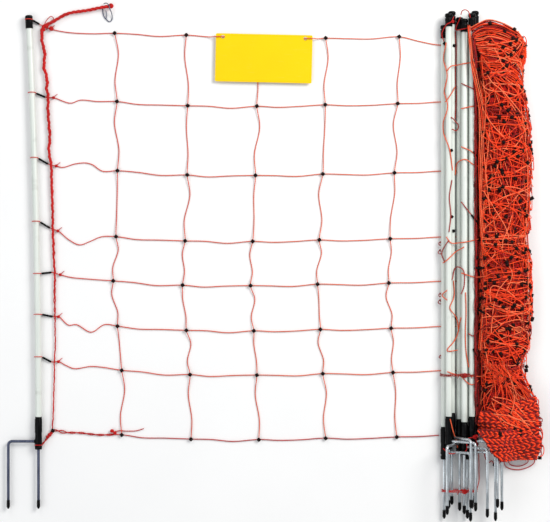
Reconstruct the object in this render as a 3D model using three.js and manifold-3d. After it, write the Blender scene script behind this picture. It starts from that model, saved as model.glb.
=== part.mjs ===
// Electric dog netting, unrolled over its first five bays and lying flat on a floor.
// Millimetres, +Z up. Everything is drawn from the foot of the end post: +Y runs up
// the post, +X runs along the fence towards the bundle of spare posts and folded net.
import * as THREE from "three";
import { mergeVertices } from "three/addons/utils/BufferGeometryUtils.js";
import Module from "manifold-3d";

const wasm = await Module();
wasm.setup();

// Driving dimensions of a post
const POST_HEIGHT = 920; // underside of the foot to the top of the cap
const TUBE_DIAMETER = 13;
const TUBE_WALL = 1.6;
const CAP_DIAMETER = 16;
const CAP_LENGTH = 28;
const CAP_PLUG = 14; // solid end of the cap, above the tube
const FOOT_DIAMETER = 15.6;
const FOOT_LENGTH = 69;
const FOOT_PLUG = 30; // solid end of the foot, below the tube
const GROOVE_INSET = 9; // from the end of a cap or foot to the middle of its cord groove
const GROOVE_WIDTH = 3.4;
const END_POST_BOW = 20; // how far the top of the end post leans out of line

// Driving dimensions of a spike: one steel rod bent to a U
const ROD_DIAMETER = 6;
const PRONG_LENGTH = 126; // below the underside of the foot
const SPUR_REACH = 64; // between the two prongs
const STEP_HEIGHT = 17; // crossbar above the underside of the foot
const ROD_BEND = 8;
const BOSS_DIAMETER = 8;
const BOSS_REACH = 9.2;
const TIP_DIAMETER = 7.2;
const TIP_LENGTH = 18;
const TIP_POINT = 4;

// Driving dimensions of the cords
const STRAND = 2.4;
const LEAD_DIAMETER = 6.6;
const EDGE_DIAMETERS = [6.6, 4.4, 2.8]; // the twisted edge cord thins out downwards
const SLEEVE_DIAMETER = 4.4;
const SLEEVE_FROM = 0.12; // share of the way from the loop to the sleeve's end
const LOOP_LEAVES = -40; // degrees round the post, where a row leaves its loop
const KNOT_SIZE = 8.5;
const KNOT_HEIGHT = 4.2;
const TIE_KNOT = 3.2; // radius of the small red knots
const TIE_CORD = 2.4;
const TIE_SLACK = 0.2;
const BUNDLE_KNOT = 4.48; // radius of the knots in the two ties round the bundle
const CLIP_WIRE = 2;

// Driving dimensions of the plate and the folded net
const PLATE_WIDTH = 205;
const PLATE_HEIGHT = 102;
const PLATE_THICKNESS = 1;
const PLATE_CORNER = 3;
const PLATE_HOLE = 8;
const PLATE_HOLE_INSET = [15, 7];
const PLATE_TILT = -1.3; // degrees
const NET_THICKNESS = 48;
const NET_MIDDLE = 22; // height of its widest level
const NET_END_FLATTENING = 0.5;
const PLATE_OFFSET = [15.5, -2]; // of the plate, from hanging centrally on the middle knot

// Clearances
const GAP = 0.3;
const FIT = 0.3; // between a tube or rod and the plastic that holds it
const NET_CLEARANCE = 1; // between the folded net and the bundle of posts

// How the opened bays lie: rows from the top, columns from the end post. The heights of
// rows and routes are written for a post of this height, and follow the real one.
const WRITTEN_FOR = 920;
const ROW_GAPS = [143, 147, 140, 94, 96, 94, 137];
const ROW_BOTTOM = 29;
const ROW_SHIFT = [[-6, 10], [-1, 7], [0, 0], [-3, -9], [-9, -12], [0, -7], [9, -3], [9, 5]];
const COLUMN_X = [167, 315, 460, 603, 755];
const COLUMN_SAG = [-1, 8, 9, 6, 3.5];
const TOP_ROW_SAG = [-3, 1, 5, 7.5, 4.5]; // the top row is pulled straighter than the rest
const STRAND_DIP = 3; // sag of a strand between two knots
const UPRIGHT_SWAY = 7;
const TOP_ROW_AT_BUNDLE = 858;

// Each row from its tie on the end post to the first column: the height of the tie,
// the end of its black sleeve, the small knot beside the edge cord, then the slack.
const TIES = [POST_HEIGHT - GROOVE_INSET, 756, 618, 483, 372.5, 286, 196, GROOVE_INSET];
const ROUTES = [
  [[1, 902], [25, 892], [60, 885], [110, 882]],
  [[13.5, 747], [31, 746], [67, 734.5], [88, 741], [125, 738]],
  [[19.5, 605], [37, 601], [50, 598], [77, 605.5], [99, 607.5], [113, 604], [135, 590]],
  [[23.5, 469], [40.5, 463], [62.5, 445], [86, 433.5], [109, 441], [132.5, 450.5]],
  [[27, 375], [45.5, 370], [67, 364.5], [109, 360.5]],
  [[29.5, 281], [41.5, 281], [62.5, 263], [79.5, 264], [111, 248], [139, 264]],
  [[26, 185], [41.5, 185.5], [56, 178], [75, 170.5], [109, 175], [134, 173.5]],
  [[17, 13], [29, 40], [58, 35], [88, 34], [124, 30]],
];

// The edge cord from the top tie down to the corner knot, and the tail that leads on from it
const EDGE_ROUTE = [
  [7, 876], [7.5, 863], [12, 846], [12.5, 829], [11, 812], [15, 797], [18, 782], [17, 765],
  [20, 748], [19.5, 726], [21, 697], [23.5, 661], [21.5, 634], [24, 617], [26.5, 600],
  [27.5, 570], [29, 520], [29.7, 496], [29.7, 466], [31, 430], [32, 400], [34, 375],
  [34, 337], [34.5, 280], [34.5, 252], [35, 220], [33, 186], [33, 157], [32, 125],
  [30.5, 72], [29, 49],
];
const EDGE_SPANS = [[0, 19], [18, 24], [23, 30]]; // stretches of each thickness
const LEAD_ROUTE = [
  [6.6, 882], [7.5, 891], [13, 899], [22, 903], [32, 908], [42, 914], [54, 921], [69, 926],
  [89, 929], [109, 932], [125, 935.5], [141, 938], [152, 939],
];
const LEAD_LIFT = [0, 0, 0, 0, 0, 0, 0, 0, 0, 0, 0.4, 2.2, 2.4]; // it rides over the clip
const CLIP_ROUTE = [
  [134, 938, 1], [135.5, 929, 1], [138, 919, 1], [144, 911.5, 1], [150, 907.5, 1],
  [154.5, 911, 1.2], [155.5, 918, 2.4], [154.5, 926, 8], [152, 932, 13.4], [149.5, 940.5, 13.4],
  [144, 946, 8], [138, 946, 3],
];

// The spare posts lie in two layers. Each has a place in its layer, a shift along the
// bundle and the angle that its crossbar is turned up to, so that the spurs clear each other.
const SPARE_POSTS = [
  { layer: 0, place: 0, shift: -21, turn: 36.5 },
  { layer: 0, place: 1, shift: 8.5, turn: 58 },
  { layer: 0, place: 2, shift: -4.5, turn: 120 },
  { layer: 0, place: 3, shift: -21, turn: 30 },
  { layer: 0, place: 4, shift: 9, turn: 50 },
  { layer: 1, place: 0, shift: 2, turn: 35 },
  { layer: 1, place: 2, shift: -9.5, turn: 48 },
  { layer: 1, place: 3, shift: 2, turn: 20 },
];
const BUNDLE_X = 860;
const BUNDLE_TIE_Y = 158;
const SPIKE_TIE_Y = -87;

// Outline of the folded net seen from above: height up the drawing, how far its right
// edge stands out from the bundle of posts, and how far its left edge stands in from
// them. It narrows at three waists.
const NET_OUTLINE = [
  [904, 41.4, 12], [886, 81.4, 2], [857, 96.4, 0], [826, 93.4, 0], [789, 74.4, 1],
  [757, 95.4, 0], [697, 103.4, 0], [613, 109.4, 0], [528, 105.4, 0], [464, 103.4, 0],
  [443, 91.4, 1], [417, 105.4, 0], [316, 108.4, 0], [220, 103.4, 1], [176, 86.4, 4],
  [129, 106.4, 4], [104, 120.4, 3], [72, 127.4, 5], [48, 129.4, 18], [28, 131.4, 48],
  [14, 132.4, 62], [-4, 132.4, 66], [-19, 127.4, 72],
];

const TUBE_SIDES = 10;
const ROD_SIDES = 6;
const CORD_SIDES = 4;
const LEAD_SIDES = 8;
const NET_SIDES = 22;
const TIE_STEPS = 24;

const ringRadius = (TUBE_DIAMETER + STRAND) / 2 + GAP; // a loop of cord round a tube
const postZ = ringRadius + STRAND / 2; // the posts lie on the cords that pass under them
const strandZ = STRAND / 2;
const crossingZ = STRAND + GAP + STRAND / 2; // an upright where it passes over a strand
const plateZ = STRAND + GAP + KNOT_HEIGHT + GAP; // underside of the plate, on the knots
const bundlePitch = CAP_DIAMETER + GAP + 0.1;
const layerRise = Math.sqrt((CAP_DIAMETER + GAP) ** 2 - (bundlePitch / 2) ** 2);
const tubeSocket = (TUBE_DIAMETER / 2 + FIT) / Math.cos(Math.PI / TUBE_SIDES); // flats clear the tube
const tubeFrom = FOOT_PLUG + FIT;
const tubeTo = POST_HEIGHT - CAP_PLUG - FIT;

const plastic = (color, roughness) =>
  new THREE.MeshStandardMaterial({ color, roughness, metalness: 0 });
const whiteTube = plastic(0xdce3dc, 0.45);
const blackPlastic = plastic(0x161618, 0.5);
const orangeCord = plastic(0xff4a18, 0.6);
const redCord = plastic(0xc81c10, 0.65);
const yellowPlate = plastic(0xffde00, 0.4);
const steel = new THREE.MeshStandardMaterial({
  color: 0x5c6470,
  roughness: 0.4,
  metalness: 0.9,
});

const part = new THREE.Group();

function addMesh(parent, name, geometry, material) {
  const mesh = new THREE.Mesh(geometry, material);
  mesh.name = name;
  parent.add(mesh);
  return mesh;
}

// Closed geometry to a solid and back, for joins and cuts
function toSolid(geometry) {
  const bare = geometry.clone();
  bare.deleteAttribute("normal");
  bare.deleteAttribute("uv");
  const merged = mergeVertices(bare, 1e-4);
  return new wasm.Manifold(
    new wasm.Mesh({
      numProp: 3,
      vertProperties: new Float32Array(merged.attributes.position.array),
      triVerts: new Uint32Array(merged.index.array),
    }),
  );
}

function toGeometry(solid) {
  const mesh = solid.getMesh();
  const geometry = new THREE.BufferGeometry();
  geometry.setAttribute("position", new THREE.BufferAttribute(mesh.vertProperties, 3));
  geometry.setIndex(new THREE.BufferAttribute(mesh.triVerts, 1));
  geometry.computeVertexNormals();
  return geometry;
}

function join(...geometries) {
  return toGeometry(geometries.map(toSolid).reduce((whole, piece) => whole.add(piece)));
}

function cut(body, ...tools) {
  return toGeometry(tools.map(toSolid).reduce((rest, tool) => rest.subtract(tool), toSolid(body)));
}

// A turned piece from (radius, height) pairs, about the Y axis
function turned(profile, sides = TUBE_SIDES) {
  return new THREE.LatheGeometry(
    profile.map(([radius, height]) => new THREE.Vector2(radius, height)),
    sides,
  );
}

function circle(radius, sides) {
  const shape = new THREE.Shape();
  for (let i = 0; i < sides; i++) {
    const angle = ((i + 0.5) * 2 * Math.PI) / sides;
    const point = [radius * Math.cos(angle), radius * Math.sin(angle)];
    if (i === 0) shape.moveTo(...point);
    else shape.lineTo(...point);
  }
  shape.closePath();
  return shape;
}

// A smooth curve that is stepped evenly from one chosen point to the next
class Route extends THREE.CatmullRomCurve3 {
  constructor(points) {
    super(points, false, "centripetal");
  }

  getUtoTmapping(u) {
    return u;
  }
}

function swept(points, diameter, { sides = CORD_SIDES, steps = 2 } = {}) {
  return new THREE.ExtrudeGeometry(circle(diameter / 2, sides), {
    steps: (points.length - 1) * steps,
    extrudePath: new Route(points),
    bevelEnabled: false,
  });
}

// A corner of a bent rod: the points of its quarter arc
function bend(corner, from, to, radius, steps = 3) {
  const arc = [];
  for (let i = 0; i <= steps; i++) {
    const angle = (i / steps) * (Math.PI / 2);
    arc.push(
      corner
        .clone()
        .addScaledVector(from, radius * (1 - Math.sin(angle)))
        .addScaledVector(to, radius * (1 - Math.cos(angle))),
    );
  }
  return arc;
}

// Polyline sweep for rods, with its bends given as points
class Polyline extends THREE.Curve {
  constructor(points) {
    super();
    this.points = points;
  }

  getPoint(t, target = new THREE.Vector3()) {
    const along = t * (this.points.length - 1);
    const index = Math.min(Math.floor(along + 1e-9), this.points.length - 2);
    return target.lerpVectors(this.points[index], this.points[index + 1], along - index);
  }

  getTangent(t, target = new THREE.Vector3()) {
    const last = this.points.length - 1;
    const index = Math.round(t * last);
    const before = this.points[Math.max(index - 1, 0)];
    const after = this.points[Math.min(index + 1, last)];
    return target.subVectors(after, before).normalize();
  }

  getUtoTmapping(u) {
    return u;
  }
}

function rodAlong(points, diameter) {
  return new THREE.ExtrudeGeometry(circle(diameter / 2, ROD_SIDES), {
    steps: points.length - 1,
    extrudePath: new Polyline(points),
    bevelEnabled: false,
  });
}

const vector = (x, y, z) => new THREE.Vector3(x, y, z);
const written = (height) => height * (POST_HEIGHT / WRITTEN_FOR);

// Sideways place of a post's axis at a height: straight, or bowed out towards the top
function axisAt(height, bow) {
  const share = Math.max(height - tubeFrom, 0) / (tubeTo - tubeFrom);
  return -bow * share ** 2;
}

function tubeGeometry(bow) {
  const middle = (tubeFrom + tubeTo) / 2;
  const path = new THREE.QuadraticBezierCurve3(
    vector(0, tubeFrom, 0),
    vector(0, middle, 0),
    vector(axisAt(tubeTo, bow), tubeTo, 0),
  );
  const section = circle(TUBE_DIAMETER / 2, TUBE_SIDES);
  section.holes.push(circle(TUBE_DIAMETER / 2 - TUBE_WALL, TUBE_SIDES));
  const steps = bow === 0 ? 1 : 10;
  return new THREE.ExtrudeGeometry(section, { steps, extrudePath: path, bevelEnabled: false });
}

// The groove near the end of a cap or foot, where a loop of cord seats
function groove(radius, middle) {
  const seat = ringRadius - STRAND / 2 - GAP;
  const half = GROOVE_WIDTH / 2;
  return [[radius, middle - half], [seat, middle - half], [seat, middle + half], [radius, middle + half]];
}

function capGeometry() {
  const radius = CAP_DIAMETER / 2;
  const shoulder = 2;
  return turned([
    [0, CAP_LENGTH - CAP_PLUG],
    [tubeSocket, CAP_LENGTH - CAP_PLUG],
    [tubeSocket, 0],
    [radius - 0.5, 0],
    [radius, 1],
    ...groove(radius, CAP_LENGTH - GROOVE_INSET),
    [radius, CAP_LENGTH - shoulder],
    [radius - shoulder, CAP_LENGTH],
    [0, CAP_LENGTH],
  ]);
}

function footGeometry() {
  const radius = FOOT_DIAMETER / 2;
  const lip = 0.6;
  const body = turned([
    [0, 0],
    [radius - lip, 0],
    [radius, lip],
    ...groove(radius, GROOVE_INSET),
    [radius, FOOT_LENGTH - lip],
    [radius - lip, FOOT_LENGTH],
    [tubeSocket, FOOT_LENGTH],
    [tubeSocket, FOOT_PLUG],
    [0, FOOT_PLUG],
  ]);
  const boss = rodAlong([vector(0, STEP_HEIGHT, 0), vector(BOSS_REACH, STEP_HEIGHT, 0)], BOSS_DIAMETER);
  return cut(join(body, boss), rodAlong(spikePath(), ROD_DIAMETER + 2 * FIT));
}

// The rod's centreline: up the main prong, out along the crossbar, down the outer prong
function spikePath() {
  const up = vector(0, 1, 0);
  const down = vector(0, -1, 0);
  const out = vector(1, 0, 0);
  const back = vector(-1, 0, 0);
  const prongEnd = -PRONG_LENGTH + TIP_POINT;
  return [
    vector(0, prongEnd, 0),
    ...bend(vector(0, STEP_HEIGHT, 0), down, out, ROD_BEND),
    ...bend(vector(SPUR_REACH, STEP_HEIGHT, 0), back, down, ROD_BEND),
    vector(SPUR_REACH, prongEnd, 0),
  ];
}

// A tip slipped on a prong, pointing down from its own top
function tipGeometry(bore) {
  const radius = TIP_DIAMETER / 2;
  const inner = ROD_DIAMETER / 2 + FIT;
  const point = [[0, -TIP_LENGTH], [radius * 0.35, -TIP_LENGTH], [radius, TIP_POINT - TIP_LENGTH]];
  const socketFloor = TIP_POINT - TIP_LENGTH - FIT;
  const top = bore ? [[radius, 0], [inner, 0], [inner, socketFloor], [0, socketFloor]] : [[radius, 0], [0, 0]];
  return turned([...point, ...top], 8);
}

// A post in its own frame: axis up Y from the underside of the foot, spur towards +X
function post(name, { bow = 0, looseTips = false }) {
  const group = new THREE.Group();
  addMesh(group, name + "_tube", tubeGeometry(bow), whiteTube);
  const cap = addMesh(group, name + "_cap", capGeometry(), blackPlastic);
  const lean = Math.atan((2 * bow) / (tubeTo - tubeFrom));
  const capBase = POST_HEIGHT - CAP_LENGTH;
  cap.position.set(axisAt(tubeTo, bow) + (tubeTo - capBase) * Math.sin(lean), capBase, 0);
  cap.rotation.z = lean;
  addMesh(group, name + "_foot", footGeometry(), blackPlastic);
  const rod = rodAlong(spikePath(), ROD_DIAMETER);
  const tipTop = -PRONG_LENGTH + TIP_LENGTH;
  const places = [["_prong_tip", 0], ["_spur_tip", SPUR_REACH]];
  if (looseTips) {
    addMesh(group, name + "_spike", rod, steel);
    for (const [suffix, x] of places) {
      addMesh(group, name + suffix, tipGeometry(true), blackPlastic).position.set(x, tipTop, 0);
    }
  } else {
    const tips = places.map(([, x]) => tipGeometry(false).translate(x, tipTop, 0));
    addMesh(group, name + "_spike", join(rod, ...tips), steel);
  }
  return group;
}

const endPost = post("end_post", { bow: -END_POST_BOW, looseTips: true });
endPost.position.z = postZ;
endPost.rotation.y = Math.PI;
part.add(endPost);

// Turned half round, a post that bows towards +X in its own frame leans to -X here
const endAxis = (height) => axisAt(height, END_POST_BOW);

function sparePlace({ layer, place }) {
  return [BUNDLE_X + (place + layer / 2) * bundlePitch, postZ + layer * layerRise];
}

SPARE_POSTS.forEach((spare, index) => {
  const group = post("bundle_post_" + (index + 1), {});
  const [x, z] = sparePlace(spare);
  group.position.set(x, spare.shift, z);
  group.rotation.y = -THREE.MathUtils.degToRad(spare.turn);
  part.add(group);
});

const lowerPosts = SPARE_POSTS.filter((spare) => spare.layer === 0);
const bundleLeft = sparePlace(lowerPosts[0])[0] - CAP_DIAMETER / 2;
const bundleRight = sparePlace(lowerPosts.at(-1))[0] + CAP_DIAMETER / 2;

// Knots of the opened net: row from the top, column from the end post
const rowHeights = ROW_GAPS.map(written).reduceRight(
  (heights, gap) => [heights[0] + gap, ...heights],
  [ROW_BOTTOM],
);

function knotPlace(row, column) {
  const [near, far] = ROW_SHIFT[row];
  const share = column / (COLUMN_X.length - 1);
  const sag = row === 0 ? TOP_ROW_SAG : COLUMN_SAG;
  return [
    COLUMN_X[column] + THREE.MathUtils.lerp(near, far, share),
    rowHeights[row] - sag[column],
  ];
}

// The folded net: flat rings of a flattened oval, stacked along Y and closed at both ends
const netHalf = NET_THICKNESS - NET_MIDDLE;

function ovalShare(z) {
  return Math.sqrt(1 - ((z - NET_MIDDLE) / netHalf) ** 2);
}

function netSection([height, reach, inset], index) {
  const y = written(height);
  const left = bundleRight + NET_CLEARANCE + inset;
  const right = bundleRight + reach;
  const half = (right - left) / (1 + ovalShare(postZ));
  const ends = index === 0 || index === NET_OUTLINE.length - 1;
  return { y, middle: right - half, half, flatten: ends ? NET_END_FLATTENING : 1 };
}

function netGeometry() {
  const positions = [];
  const faces = [];
  NET_OUTLINE.map(netSection).forEach(({ y, middle, half, flatten }) => {
    for (let i = 0; i < NET_SIDES; i++) {
      const angle = (i / NET_SIDES) * 2 * Math.PI;
      const height = NET_MIDDLE + netHalf * Math.sin(angle);
      positions.push(middle + half * Math.cos(angle), y, Math.max(height * flatten, 0));
    }
  });
  const rings = NET_OUTLINE.length;
  for (let ring = 0; ring < rings - 1; ring++) {
    for (let i = 0; i < NET_SIDES; i++) {
      const a = ring * NET_SIDES + i;
      const b = ring * NET_SIDES + ((i + 1) % NET_SIDES);
      faces.push(a, b, a + NET_SIDES, b, b + NET_SIDES, a + NET_SIDES);
    }
  }
  const last = (rings - 1) * NET_SIDES;
  for (let i = 1; i < NET_SIDES - 1; i++) {
    faces.push(0, i + 1, i, last, last + i, last + i + 1);
  }
  const geometry = new THREE.BufferGeometry();
  geometry.setAttribute("position", new THREE.Float32BufferAttribute(positions, 3));
  geometry.setIndex(faces);
  geometry.computeVertexNormals();
  return geometry;
}

addMesh(part, "folded_net", netGeometry(), orangeCord);

// Left flank of the folded net at strand height, where a row runs into it
function netFlank(y) {
  const sections = NET_OUTLINE.map(netSection);
  const next = sections.findIndex((section) => section.y < y);
  const [above, below] = [sections[next - 1], sections[next]];
  const share = (above.y - y) / (above.y - below.y);
  const flanks = [above, below].map(({ middle, half }) => middle - half * ovalShare(STRAND));
  return THREE.MathUtils.lerp(flanks[0], flanks[1], share);
}

// The plate hangs on the top row by two holes
const plateMiddle = knotPlace(0, 2);
const plateTilt = THREE.MathUtils.degToRad(PLATE_TILT);
const [holeInsetX, holeInsetY] = PLATE_HOLE_INSET;
const plateHoles = [-1, 1].map((side) => side * (PLATE_WIDTH / 2 - holeInsetX));
const plateCentre = [
  plateMiddle[0] + PLATE_OFFSET[0],
  plateMiddle[1] - PLATE_HEIGHT / 2 + holeInsetY + PLATE_OFFSET[1],
];

function plateGeometry() {
  const [w, h, r] = [PLATE_WIDTH / 2, PLATE_HEIGHT / 2, PLATE_CORNER];
  const shape = new THREE.Shape();
  shape.moveTo(-w + r, -h);
  shape.lineTo(w - r, -h);
  shape.absarc(w - r, -h + r, r, -Math.PI / 2, 0);
  shape.absarc(w - r, h - r, r, 0, Math.PI / 2);
  shape.absarc(-w + r, h - r, r, Math.PI / 2, Math.PI);
  shape.absarc(-w + r, -h + r, r, Math.PI, 1.5 * Math.PI);
  for (const x of plateHoles) {
    const hole = new THREE.Path();
    hole.absarc(x, h - holeInsetY, PLATE_HOLE / 2, 0, 2 * Math.PI, true);
    shape.holes.push(hole);
  }
  return new THREE.ExtrudeGeometry(shape, {
    depth: PLATE_THICKNESS,
    bevelEnabled: false,
    curveSegments: 4,
  });
}

const plate = addMesh(part, "sign_plate", plateGeometry(), yellowPlate);
plate.position.set(...plateCentre, plateZ);
plate.rotation.z = plateTilt;

function holePlace(side) {
  const x = plateHoles[side];
  const y = PLATE_HEIGHT / 2 - holeInsetY;
  const [cos, sin] = [Math.cos(plateTilt), Math.sin(plateTilt)];
  return [plateCentre[0] + x * cos - y * sin, plateCentre[1] + x * sin + y * cos];
}

// The strand goes over the plate's edge, down through a hole and on behind
const plateTop = plateZ + PLATE_THICKNESS;
const overPlate = plateTop + GAP + STRAND / 2;

function threading(side) {
  const [x, y] = holePlace(side);
  const out = side === 0 ? -1 : 1;
  const edge = holeInsetX;
  const reach = PLATE_HOLE;
  const points = [
    vector(x + out * (edge + 1.5 * reach), y, strandZ + 2),
    vector(x + out * (edge + 2), y, overPlate),
    vector(x + out * 0.9 * reach, y, overPlate + 1.2),
    vector(x + out * 0.4 * reach, y, overPlate + 0.6),
    vector(x, y, plateZ + PLATE_THICKNESS / 2),
    vector(x - out * 0.45 * reach, y, plateZ - GAP - STRAND / 2 - 0.9),
    vector(x - out * 1.4 * reach, y, strandZ + 2),
    vector(x - out * 3 * reach, y, strandZ),
  ];
  return side === 0 ? points : points.reverse();
}

// A row: a loop round the end post, its black sleeve, then the strand along the floor
function strandGeometry(row) {
  const tied = row === 0 || row === ROW_GAPS.length; // in the groove of the cap or foot
  const tie = tied ? TIES[row] : written(TIES[row]);
  const axisX = endAxis(tie);
  const loop = new THREE.TorusGeometry(ringRadius, STRAND / 2, CORD_SIDES, 2 * TUBE_SIDES);
  loop.rotateX(Math.PI / 2).translate(axisX, tie, postZ);
  const leave = THREE.MathUtils.degToRad(LOOP_LEAVES);
  const start = vector(
    axisX + ringRadius * Math.cos(leave),
    tie,
    postZ + ringRadius * Math.sin(leave),
  );
  const route = ROUTES[row].map(([x, y]) => vector(x, written(y), strandZ));
  const [sleeveEnd, tieKnot, ...slack] = route;
  sleeveEnd.z = SLEEVE_DIAMETER / 2;
  const points = [start, sleeveEnd, tieKnot, ...slack];
  COLUMN_X.forEach((_, column) => {
    const [x, y] = knotPlace(row, column);
    if (row === 0 && column === 2) {
      points.push(...threading(0), vector(x, y, strandZ), ...threading(1));
      return;
    }
    const previous = points.at(-1);
    if (column > 0 && !(row === 0 && column === 3)) {
      points.push(vector((previous.x + x) / 2, (previous.y + y) / 2 - STRAND_DIP, strandZ));
    }
    points.push(vector(x, y, strandZ));
  });
  const end = rowEnd(row);
  points.push(vector((points.at(-1).x + bundleLeft) / 2, (points.at(-1).y + end.y) / 2, strandZ));
  points.push(vector(bundleLeft - 2, end.y, strandZ));
  if (end.x > bundleLeft) points.push(end);
  const sleeveStart = start.clone().lerp(sleeveEnd, SLEEVE_FROM);
  const sleeve = rodAlong([sleeveStart, sleeveEnd], SLEEVE_DIAMETER);
  const knot = new THREE.IcosahedronGeometry(TIE_KNOT, 0);
  knot.translate(tieKnot.x, tieKnot.y, TIE_KNOT);
  return join(loop, sleeve, knot, swept(points, STRAND, { steps: 1 }));
}

// A row passes under the spare posts into the folded net; the last one stops at their feet
function rowEnd(row) {
  if (row === ROW_GAPS.length) return vector(bundleLeft - 2, rowHeights[row], strandZ);
  const y = row === 0 ? written(TOP_ROW_AT_BUNDLE) : rowHeights[row];
  return vector(netFlank(y) - 1, y, strandZ);
}

rowHeights.forEach((_, row) => {
  addMesh(part, "strand_" + (row + 1), strandGeometry(row), orangeCord);
});

// An upright: over each strand at a moulded knot, down to the floor in between
function uprightGeometry(column) {
  const points = [];
  const knots = [];
  rowHeights.forEach((_, row) => {
    const [x, y] = knotPlace(row, column);
    if (row > 0) {
      const [px, py] = [points.at(-1).x, points.at(-1).y];
      const sway = UPRIGHT_SWAY * Math.sin(2.1 * row + 1.7 * column);
      points.push(vector(px * 0.7 + x * 0.3 + sway, py * 0.7 + y * 0.3, strandZ));
      points.push(vector(px * 0.3 + x * 0.7 - 0.5 * sway, py * 0.3 + y * 0.7, strandZ));
    }
    points.push(vector(x, y, crossingZ));
    const knot = new THREE.CylinderGeometry(KNOT_SIZE / 2, KNOT_SIZE / 2, KNOT_HEIGHT, 4, 1);
    knot.rotateX(Math.PI / 2);
    knot.translate(x, y, STRAND + GAP + KNOT_HEIGHT / 2);
    knots.push(knot);
  });
  return join(swept(points, STRAND, { steps: 1 }), ...knots);
}

COLUMN_X.forEach((_, column) => {
  addMesh(part, "upright_" + (column + 1), uprightGeometry(column), orangeCord);
});

// The edge cord lies over the rows' ends
function edgeGeometry() {
  const spans = EDGE_SPANS.map(([from, to], index) => {
    const diameter = EDGE_DIAMETERS[index];
    const z = STRAND + GAP + diameter / 2;
    const points = EDGE_ROUTE.slice(from, to + 1).map(([x, y]) => vector(x, written(y), z));
    return swept(points, diameter, { steps: 1 });
  });
  return join(...spans);
}

addMesh(part, "edge_cord", edgeGeometry(), redCord);

const leadZ = STRAND + GAP + LEAD_DIAMETER / 2;
const leadPoints = LEAD_ROUTE.map(([x, y], index) => vector(x, written(y), leadZ + LEAD_LIFT[index]));
const lead = swept(leadPoints, LEAD_DIAMETER, { sides: LEAD_SIDES, steps: 1 });
const leadCord = addMesh(part, "lead_cord", lead, redCord);

const clipPoints = CLIP_ROUTE.map(([x, y, z]) => vector(x, written(y), z));
const leadClip = addMesh(part, "lead_clip", swept(clipPoints, CLIP_WIRE), steel);

// A cord pulled round a group of parallel rods: tangent lines and arcs about the outer ones
function hullLoop(centres, radius, y) {
  const around = [];
  for (let i = 0; i <= TIE_STEPS; i++) {
    const angle = (i / TIE_STEPS) * 2 * Math.PI + Math.PI / 2;
    const [cos, sin] = [Math.cos(angle), Math.sin(angle)];
    const outermost = centres.reduce((best, centre) =>
      centre[0] * cos + centre[1] * sin > best[0] * cos + best[1] * sin ? centre : best,
    );
    around.push(vector(outermost[0] + radius * cos, y, outermost[1] + radius * sin));
  }
  return around;
}

function tieGeometry(rodDiameter, y) {
  const reach = rodDiameter / 2 + GAP + TIE_CORD / 2;
  const clear = reach / Math.cos(Math.PI / TIE_STEPS) + TIE_SLACK; // its flats miss the rods
  const around = hullLoop(SPARE_POSTS.map(sparePlace), clear, y);
  const knot = new THREE.IcosahedronGeometry(BUNDLE_KNOT, 1);
  knot.translate(around[0].x, y, around[0].z + TIE_KNOT);
  return join(rodAlong(around, TIE_CORD), knot);
}

addMesh(part, "bundle_tie", tieGeometry(TUBE_DIAMETER, BUNDLE_TIE_Y), redCord);
addMesh(part, "spike_tie", tieGeometry(ROD_DIAMETER, SPIKE_TIE_Y), redCord);

// Origin: middle of the footprint, on the floor, without the loose lead and its clip
part.remove(leadCord, leadClip);
part.updateMatrixWorld(true);
const box = new THREE.Box3().setFromObject(part, true);
const origin = box.getCenter(new THREE.Vector3()).setZ(box.min.z);
part.add(leadCord, leadClip);
part.position.sub(origin);

export default part;
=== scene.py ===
# %% [markdown]
# Electric dog netting: a portable fence of twisted polywire on push-in posts, here
# partly unrolled on a floor, with the rest folded beside its spare posts. The solids
# of the fence come in as a fixed frame, and every visible piece is made around them.

# %% Load the frame
import math

import bpy
import numpy as np
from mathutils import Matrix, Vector


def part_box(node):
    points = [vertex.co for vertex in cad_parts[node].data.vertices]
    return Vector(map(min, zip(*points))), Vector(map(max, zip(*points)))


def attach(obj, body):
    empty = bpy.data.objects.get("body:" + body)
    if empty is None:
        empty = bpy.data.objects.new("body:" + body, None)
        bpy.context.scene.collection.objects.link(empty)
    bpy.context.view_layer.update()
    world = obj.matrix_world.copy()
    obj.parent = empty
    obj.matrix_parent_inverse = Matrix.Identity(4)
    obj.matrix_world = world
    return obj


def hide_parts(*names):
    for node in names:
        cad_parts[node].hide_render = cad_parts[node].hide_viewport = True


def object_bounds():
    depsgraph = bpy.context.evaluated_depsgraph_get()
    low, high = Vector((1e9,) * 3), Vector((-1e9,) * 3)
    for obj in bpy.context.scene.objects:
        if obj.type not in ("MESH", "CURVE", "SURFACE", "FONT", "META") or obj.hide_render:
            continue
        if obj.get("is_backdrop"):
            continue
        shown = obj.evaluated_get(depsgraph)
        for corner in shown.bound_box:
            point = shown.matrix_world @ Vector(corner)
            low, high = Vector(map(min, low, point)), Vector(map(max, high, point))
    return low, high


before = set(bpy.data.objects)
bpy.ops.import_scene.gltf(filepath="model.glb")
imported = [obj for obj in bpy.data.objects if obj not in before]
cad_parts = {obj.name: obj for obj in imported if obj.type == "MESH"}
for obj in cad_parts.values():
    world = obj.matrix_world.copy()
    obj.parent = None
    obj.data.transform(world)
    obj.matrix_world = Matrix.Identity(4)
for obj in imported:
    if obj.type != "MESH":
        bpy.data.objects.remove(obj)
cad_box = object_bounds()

rng = np.random.default_rng(7)
print("CAD box", [[round(c, 4) for c in corner] for corner in cad_box])

# %% [markdown]
# Everything on the drawing is measured from the foot of the end post: its underside
# gives the height of the page, its prong the side, and the floor the depth. Points
# written as (x, y, z) from that datum are turned into places in the frame here.

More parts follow.
